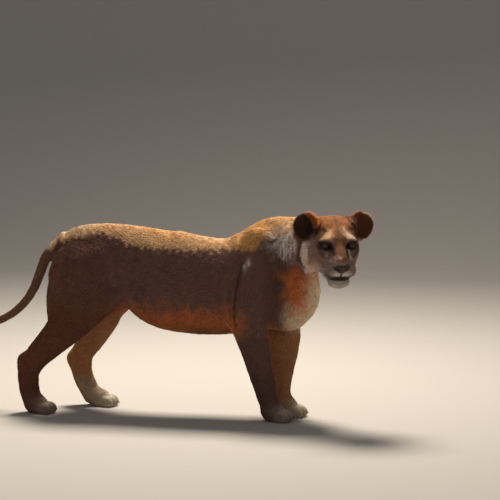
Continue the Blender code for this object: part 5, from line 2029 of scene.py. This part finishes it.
@dataclass
class Whiskers:
    """Pale whiskers in rows on the pads beside the nose, and a few over the eyes."""

    head: Head
    offset: Array
    rows: int = 4
    row_length: int = 5
    seed: int = 5

    @staticmethod
    def pad_place(row: int, place: int) -> tuple[float, float]:
        """How far across and how high on the head a whisker grows."""
        return 0.03 + 0.0095 * place, -0.092 - 0.01 * row - 0.0008 * place

    def build(self) -> Piece:
        """Each whisker leaves the pad outwards and bends back and down along a parabola."""
        chance = np.random.default_rng(self.seed)
        roots, ways, lengths = [], [], []
        for side in (-1, 1):
            for row in range(self.rows):
                for place in range(self.row_length):
                    w, z = self.pad_place(row, place)
                    roots.append((0.086 - 0.9 * max(w - 0.036, 0), side * w, z))
                    ways.append((0.15 - 0.1 * place, side * 1.0, 0.1 - 0.18 * row))
                    lengths.append((0.045 + 0.012 * place) * chance.uniform(0.8, 1.15))
            for place in range(3):
                roots.append((0.004, side * (0.04 + 0.012 * place), 0.03))
                ways.append((0.5, side * 0.25, 1.0))
                lengths.append(0.03 * chance.uniform(0.8, 1.2))
        t = np.linspace(0, 1, 7)[None, :, None]
        start, way = np.array(roots)[:, None], unit(np.array(ways, float))[:, None]
        long = np.array(lengths)[:, None, None]
        path = start + long * (way * t + np.array([-0.45, 0, -0.22]) * t**2)
        radii = 0.00055 * (1 - 0.85 * t[..., 0]) * np.ones((len(roots), 1))
        points, faces = spikes(self.head.frame.point(path), radii, 4)
        return new_piece("whiskers", points, faces, self.offset)


@dataclass
class Claws:
    """The tips of the claws, mostly drawn in between the hairs of the toes."""

    legs: Sequence[ForeLeg | HindLeg]
    offset: Array

    def build(self) -> Piece:
        """One curved horn to a toe: a short arc forward and down, narrowing to its tip."""
        paths = []
        t = np.linspace(0, 1, 6)
        for leg in self.legs:
            paw = leg.paw()
            foot = paw.frame()
            for ahead, across in paw.toes:
                x0, y0 = (ahead + 0.235) * paw.length, across * paw.width
                z = 0.024 + 0.003 * t - 0.013 * t**2
                arc = np.stack([x0 + 0.011 * t, y0 + 0.001 * across * t, z], axis=1)
                paths.append(foot.point(arc))
        radii = 0.003 * np.sqrt(1 - 0.93 * t)[None] * np.ones((len(paths), 1))
        points, faces = spikes(np.array(paths), radii, 8)
        return new_piece("claws", points, faces, self.offset)


# ---- Finishes ----


@dataclass(frozen=True)
class Value:
    """A number from a node's socket, or a plain one, which maths on it turns into Math nodes."""

    nodes: "Nodes"
    source: Socket | float

    def maths(self, operation: str, *others: "Value | float") -> "Value":
        """The result of one Math node on this value and others.

        Args:
            operation: the node's operation.
            others: the other values.

        Returns:
            The result.
        """
        sockets = dict(enumerate(getattr(v, "source", v) for v in (self, *others)))
        node = self.nodes.add("ShaderNodeMath", {"operation": operation}, sockets)
        return Value(self.nodes, node.outputs[0])

    def __add__(self, other: "Value | float") -> "Value":
        """The sum."""
        return self.maths("ADD", other)

    def __mul__(self, other: "Value | float") -> "Value":
        """The product."""
        return self.maths("MULTIPLY", other)

    def __sub__(self, other: "Value | float") -> "Value":
        """The difference."""
        return self.maths("SUBTRACT", other)

    def __rsub__(self, other: float) -> "Value":
        """The difference from a number."""
        return Value(self.nodes, other).maths("SUBTRACT", self)

    __radd__ = __add__
    __rmul__ = __mul__

    def between(self, start: float, end: float) -> "Value":
        """0 up to start and 1 from end on, smoothly between them.

        Args:
            start: where the 0 ends.
            end: where the 1 begins.

        Returns:
            The smooth step.
        """
        sockets = {"Value": self.source, "From Min": start, "From Max": end}
        node = self.nodes.add("ShaderNodeMapRange", {"interpolation_type": "SMOOTHSTEP"}, sockets)
        return Value(self.nodes, node.outputs["Result"])


class Nodes:
    """The nodes of one material."""

    def __init__(self, name: str) -> None:
        """Makes a material with only its Principled shader and output.

        Args:
            name: the material's name.
        """
        self.material = bpy.data.materials.new(name)
        self.material.use_nodes = True
        self.shader = self.material.node_tree.nodes["Principled BSDF"]

    def add(self, kind: str, settings: dict | None = None, sockets: dict | None = None) -> bpy.types.Node:
        """Adds a node.

        Args:
            kind: the node's type.
            settings: its own properties, which are set first.
            sockets: what its inputs hold or are linked to, by name or number.

        Returns:
            The node.
        """
        node = self.material.node_tree.nodes.new(kind)
        for name, value in (settings or {}).items():
            setattr(node, name, value)
        for key, value in (sockets or {}).items():
            self.put(node.inputs[key], value)
        return node

    def put(self, socket: Socket, value: object) -> None:
        """Links a socket to another, or sets what it holds.

        Args:
            socket: an input.
            value: a value, a colour, a vector or another socket.
        """
        value = getattr(value, "source", value)
        if isinstance(value, Socket):
            self.material.node_tree.links.new(value, socket)
        elif socket.type == "RGBA" and len(value) == 3:
            socket.default_value = (*value, 1.0)
        else:
            socket.default_value = value

    def set(self, **inputs: object) -> None:
        """Sets the Principled shader's inputs; an underscore stands for a space."""
        for name, value in inputs.items():
            self.put(self.shader.inputs[name.replace("_", " ")], value)

    def place(self, scale: Row = (1, 1, 1)) -> Socket:
        """Object coordinates, stretched by a scale."""
        at = self.add("ShaderNodeTexCoord").outputs["Object"]
        return self.add("ShaderNodeMapping", {}, {"Vector": at, "Scale": scale}).outputs[0]

    def noise(self, scale: float, stretch: Row = (1, 1, 1), detail: float = 3,
              roughness: float = 0.5) -> Value:
        """Noise in Object coordinates, about 0.5 in the mean."""
        sockets = {"Vector": self.place(stretch), "Scale": scale, "Detail": detail, "Roughness": roughness}
        return Value(self, self.add("ShaderNodeTexNoise", {}, sockets).outputs[0])

    def vector(self, operation: str, *vectors: object) -> bpy.types.Node:
        """One step of vector maths."""
        return self.add("ShaderNodeVectorMath", {"operation": operation}, dict(enumerate(vectors)))

    def mix(self, share: Value | float, first: object, second: object, blend: str = "MIX") -> Socket:
        """Two colours mixed.

        Args:
            share: how much of the second there is.
            first: a colour.
            second: another colour.
            blend: the node's way of blending.

        Returns:
            The mixed colour.
        """
        node = self.add("ShaderNodeMix", {"data_type": "RGBA", "blend_type": blend})
        self.put(node.inputs[0], share)
        self.put(node.inputs[6], first)
        self.put(node.inputs[7], second)
        return node.outputs[2]

    def shaded(self, colour: Socket, *shares: Value) -> Socket:
        """A colour with its red, green and blue multiplied by a share each."""
        node = self.add("ShaderNodeCombineColor", {}, dict(enumerate(shares)))
        return self.mix(1.0, colour, node.outputs[0], "MULTIPLY")

    def bump(self, height: Value, distance: float, strength: float = 1.0) -> Socket:
        """A normal bumped by a height."""
        sockets = {"Height": height, "Distance": distance, "Strength": strength}
        return self.add("ShaderNodeBump", {}, sockets).outputs[0]


@dataclass(frozen=True)
class HairFinish:
    """Hair: the tufts' own colours, with fine uneven streaks along them and a soft sheen."""

    name: str = "hair of the coat"
    roughness: float = 0.72
    sheen: float = 0.1
    streaks: float = 320.0

    def material(self) -> bpy.types.Material:
        """Makes the material."""
        nodes = Nodes(self.name)
        colour = nodes.add("ShaderNodeAttribute", {"attribute_name": "coat colour"}).outputs["Color"]
        fine = nodes.noise(self.streaks, (0.45, 1, 0.7), 2)
        broad = nodes.noise(24.0, (1, 1, 1), 3)
        grey = nodes.shaded(colour, 0.55 + 0.9 * fine, 0.56 + 0.88 * fine, 0.58 + 0.84 * fine)
        warm = nodes.mix(0.14 * broad.between(0.45, 0.7), grey, tone(150, 96, 58))
        nodes.set(Base_Color=warm, Roughness=self.roughness - 0.12 * fine, Sheen_Weight=self.sheen,
                  Sheen_Roughness=0.45, Sheen_Tint=tuple(tone(230, 205, 175)), Specular_IOR_Level=0.22)
        nodes.set(Normal=nodes.bump(fine, 0.0006, 0.5))
        return nodes.material


@dataclass(frozen=True)
class SkinFinish:
    """The skin and the short flat hair on it: its own colours with a bump drawn out along the coat."""

    name: str = "skin under the coat"

    def material(self) -> bpy.types.Material:
        """Makes the material."""
        nodes = Nodes(self.name)
        colour = nodes.add("ShaderNodeAttribute", {"attribute_name": "coat colour"}).outputs["Color"]
        along = nodes.noise(420.0, (0.22, 1, 0.6), 3, 0.6)
        pores = nodes.noise(900.0, (1, 1, 1), 2)
        share = 0.72 + 0.56 * along
        dotted = nodes.shaded(colour, share, share, share)
        nodes.set(Base_Color=dotted, Roughness=0.82 - 0.14 * along, Specular_IOR_Level=0.3)
        nodes.set(Normal=nodes.bump(along + 0.3 * pores, 0.0009, 0.8))
        return nodes.material


@dataclass(frozen=True)
class NoseFinish:
    """Dark, pebbled, slightly moist bare skin."""

    name: str = "nose skin"

    def material(self) -> bpy.types.Material:
        """Makes the material."""
        nodes = Nodes(self.name)
        cells = nodes.add("ShaderNodeTexVoronoi", {"feature": "DISTANCE_TO_EDGE"},
                          {"Vector": nodes.place(), "Scale": 620.0})
        pebble = Value(nodes, cells.outputs["Distance"]).between(0.0, 0.35)
        patch = nodes.noise(70.0)
        colour = nodes.mix(patch.between(0.35, 0.7), tone(50, 32, 27), tone(92, 62, 52))
        colour = nodes.mix(0.45 * (1 - pebble), colour, tone(24, 16, 14))
        nodes.set(Base_Color=colour, Roughness=0.42 + 0.22 * patch, Specular_IOR_Level=0.5)
        nodes.set(Normal=nodes.bump(pebble, 0.0004, 0.8))
        return nodes.material


@dataclass(frozen=True)
class EyeFinish:
    """A wet amber iris with a round pupil, a dark ring and a brown white, round the gaze."""

    name: str
    centre: tuple[float, float, float]
    gaze: tuple[float, float, float]
    iris: float = 0.0112
    pupil: float = 0.0046

    def material(self) -> bpy.types.Material:
        """Makes the material; its rings are by the distance from the line of the gaze."""
        nodes = Nodes(self.name)
        at = nodes.add("ShaderNodeTexCoord").outputs["Object"]
        away = nodes.vector("SUBTRACT", at, self.centre).outputs[0]
        off = nodes.vector("CROSS_PRODUCT", away, self.gaze).outputs[0]
        ring = Value(nodes, nodes.vector("LENGTH", off).outputs["Value"])
        radial = nodes.noise(900.0, (1, 1, 1), 3)
        ring_uneven = ring + 0.001 * (radial - 0.5)
        iris = nodes.mix(ring_uneven.between(self.pupil, self.iris), tone(112, 72, 34), tone(52, 31, 16))
        iris = nodes.mix(0.5 * radial.between(0.4, 0.7), iris, tone(136, 92, 46))
        ball = nodes.mix(ring_uneven.between(self.iris - 0.0012, self.iris + 0.0002), iris, tone(30, 18, 14))
        ball = nodes.mix(ring.between(self.iris + 0.0006, self.iris + 0.003), ball, tone(40, 27, 22))
        ball = nodes.mix(1 - ring.between(self.pupil - 0.0004, self.pupil + 0.0003), ball, tone(8, 6, 6))
        nodes.set(Base_Color=ball, Roughness=0.22, Coat_Weight=0.2, Coat_Roughness=0.06,
                  Specular_IOR_Level=0.2)
        return nodes.material


@dataclass(frozen=True)
class HornFinish:
    """Claws or whiskers: pale or dark horn, cloudy along its length."""

    name: str
    pale: tuple[int, int, int]
    dark: tuple[int, int, int]
    roughness: float

    def material(self) -> bpy.types.Material:
        """Makes the material."""
        nodes = Nodes(self.name)
        cloud = nodes.noise(160.0, (1, 1, 1), 3)
        nodes.set(Base_Color=nodes.mix(cloud.between(0.35, 0.7), tone(*self.dark), tone(*self.pale)))
        nodes.set(Roughness=self.roughness + 0.15 * cloud, Specular_IOR_Level=0.5)
        return nodes.material


@dataclass(frozen=True)
class FloorFinish:
    """The studio's pale matt floor."""

    name: str = "studio floor"

    def material(self) -> bpy.types.Material:
        """Makes the material."""
        nodes = Nodes(self.name)
        nodes.set(Base_Color=tone(186, 179, 170), Roughness=0.95, Specular_IOR_Level=0.1)
        return nodes.material


# ---- The studio ----


@dataclass
class Studio:
    """A sweep of pale floor, a soft light almost overhead and a little behind, and a weak fill."""

    offset: Array
    azimuth: float = 12.0
    distance: float = 7.5
    pitch: float = 5.7
    target: tuple[float, float, float] = (0.0, 0.0, 0.822)
    lens: float = 111.24
    key_power: float = 440.0
    fill_power: float = 10.0
    sky: float = 0.24

    def camera(self) -> None:
        """Puts the camera seven and a half metres off her right shoulder."""
        turn, up = math.radians(self.azimuth), math.radians(self.pitch)
        back = np.array([math.sin(turn) * math.cos(up), -math.cos(turn) * math.cos(up), math.sin(up)])
        data = bpy.data.cameras.new("camera")
        data.lens, data.sensor_width, data.clip_end = self.lens, 36.0, 100.0
        camera = bpy.data.objects.new("camera", data)
        camera.location = np.array(self.target) + self.offset + back * self.distance
        camera.rotation_euler = (math.pi / 2 - up, 0.0, turn)
        bpy.context.scene.collection.objects.link(camera)
        bpy.context.scene.camera = camera

    def floor(self) -> None:
        """A floor that curves up into a backdrop far behind: a profile carried along x."""
        bend = np.linspace(0, math.pi / 2, 16)
        depth = np.concatenate([[-14.0, 6.0], 6.0 + 4.0 * np.sin(bend), [10.0]])
        height = np.concatenate([[0.0, 0.0], 4.0 * (1 - np.cos(bend)), [14.0]])
        ends = np.array([-16.0, 16.0])
        points = np.stack([
            np.repeat(ends[:, None], len(depth), 1), np.tile(depth, (2, 1)), np.tile(height, (2, 1)),
        ], axis=-1).reshape(-1, 3)
        this = np.arange(len(depth) - 1)
        quads = np.stack([this, this + len(depth), this + len(depth) + 1, this + 1], axis=1)
        floor = new_piece("floor", points, quads, np.zeros(3))
        floor.data.materials.append(FloorFinish().material())

    def light(self, name: str, place: Row, power: float, size: float, colour: Row) -> None:
        """A square soft light that looks at her middle.

        Args:
            name: the lamp's name.
            place: where it hangs.
            power: its power in watts.
            size: the side of its square.
            colour: red, green and blue.
        """
        data = bpy.data.lights.new(name, "AREA")
        data.energy, data.size, data.color = power, size, colour
        lamp = bpy.data.objects.new(name, data)
        start = np.array(place, float) + self.offset
        lamp.location = start
        aim = Vector(np.array((-0.3, 0.0, 0.55)) + self.offset - start)
        lamp.rotation_euler = aim.to_track_quat("-Z", "Y").to_euler()
        bpy.context.scene.collection.objects.link(lamp)

    def build(self) -> None:
        """Sets up the floor, lights, sky and camera."""
        self.floor()
        self.camera()
        self.light("key light", (-0.6, 1.5, 4.8), self.key_power, 1.3, (1.0, 0.93, 0.84))
        self.light("front fill", (3.2, -5.0, 2.2), self.fill_power, 3.0, (1.0, 0.96, 0.92))
        world = bpy.data.worlds.new("sky")
        world.use_nodes = True
        sky = world.node_tree.nodes["Background"].inputs
        sky[0].default_value, sky[1].default_value = (0.95, 0.97, 1.0, 1.0), self.sky
        bpy.context.scene.world = world
        bpy.context.scene.view_settings.view_transform = "Standard"


# ---- Putting it together ----


def add_piece(piece: Piece, material: bpy.types.Material, nodes: Iterable[str]) -> None:
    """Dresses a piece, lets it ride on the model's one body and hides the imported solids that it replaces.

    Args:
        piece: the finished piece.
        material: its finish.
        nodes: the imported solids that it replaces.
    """
    piece.data.materials.clear()
    piece.data.materials.append(material)
    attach(piece, "root")
    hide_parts(*nodes)
    log.info("%s: %d faces", piece.name, len(piece.data.polygons))


def flesh_nodes() -> list[str]:
    """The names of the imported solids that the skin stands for: all but the eyes and the nose."""
    return [name for name in frame["nodes"] if not name.startswith(("eye_", "nose"))]


def main() -> None:
    """Builds the lioness and the studio round her."""
    logging.basicConfig(level=logging.INFO, format="%(message)s")
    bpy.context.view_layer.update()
    lioness = Lioness()
    eye_middle = np.mean(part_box("eye_left"), axis=0)
    offset = eye_middle - lioness.head.eye_centre(1)
    offset[2] = 0.0
    log.info("offset %s", offset)
    Studio(offset).build()
    markings = Markings(lioness)
    skin = Skin(lioness, markings, offset).build(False)
    add_piece(skin, SkinFinish().material(), flesh_nodes())
    hair = HairFinish().material()
    for piece in Coat(lioness, markings, Lie(lioness), offset).build(skin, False):
        add_piece(piece, hair, [])
    for side, name in ((-1, "right"), (1, "left")):
        eye = Eye(lioness.head, side, offset)
        centre = tuple(lioness.head.eye_centre(side) + offset)
        finish = EyeFinish(f"{name} eye", centre, tuple(eye.axes()[:, 0]))
        add_piece(eye.build(), finish.material(), ["eye_" + name])
    add_piece(Nose(lioness.head, offset).build(), NoseFinish().material(), ["nose"])
    whiskers = HornFinish("whisker", (238, 230, 220), (206, 194, 180), 0.4)
    add_piece(Whiskers(lioness.head, offset).build(), whiskers.material(), [])
    claws = HornFinish("claw", (150, 124, 98), (82, 64, 52), 0.35)
    add_piece(Claws([*lioness.fore, *lioness.hind], offset).build(), claws.material(), [])


if __name__ == "__main__":
    main()
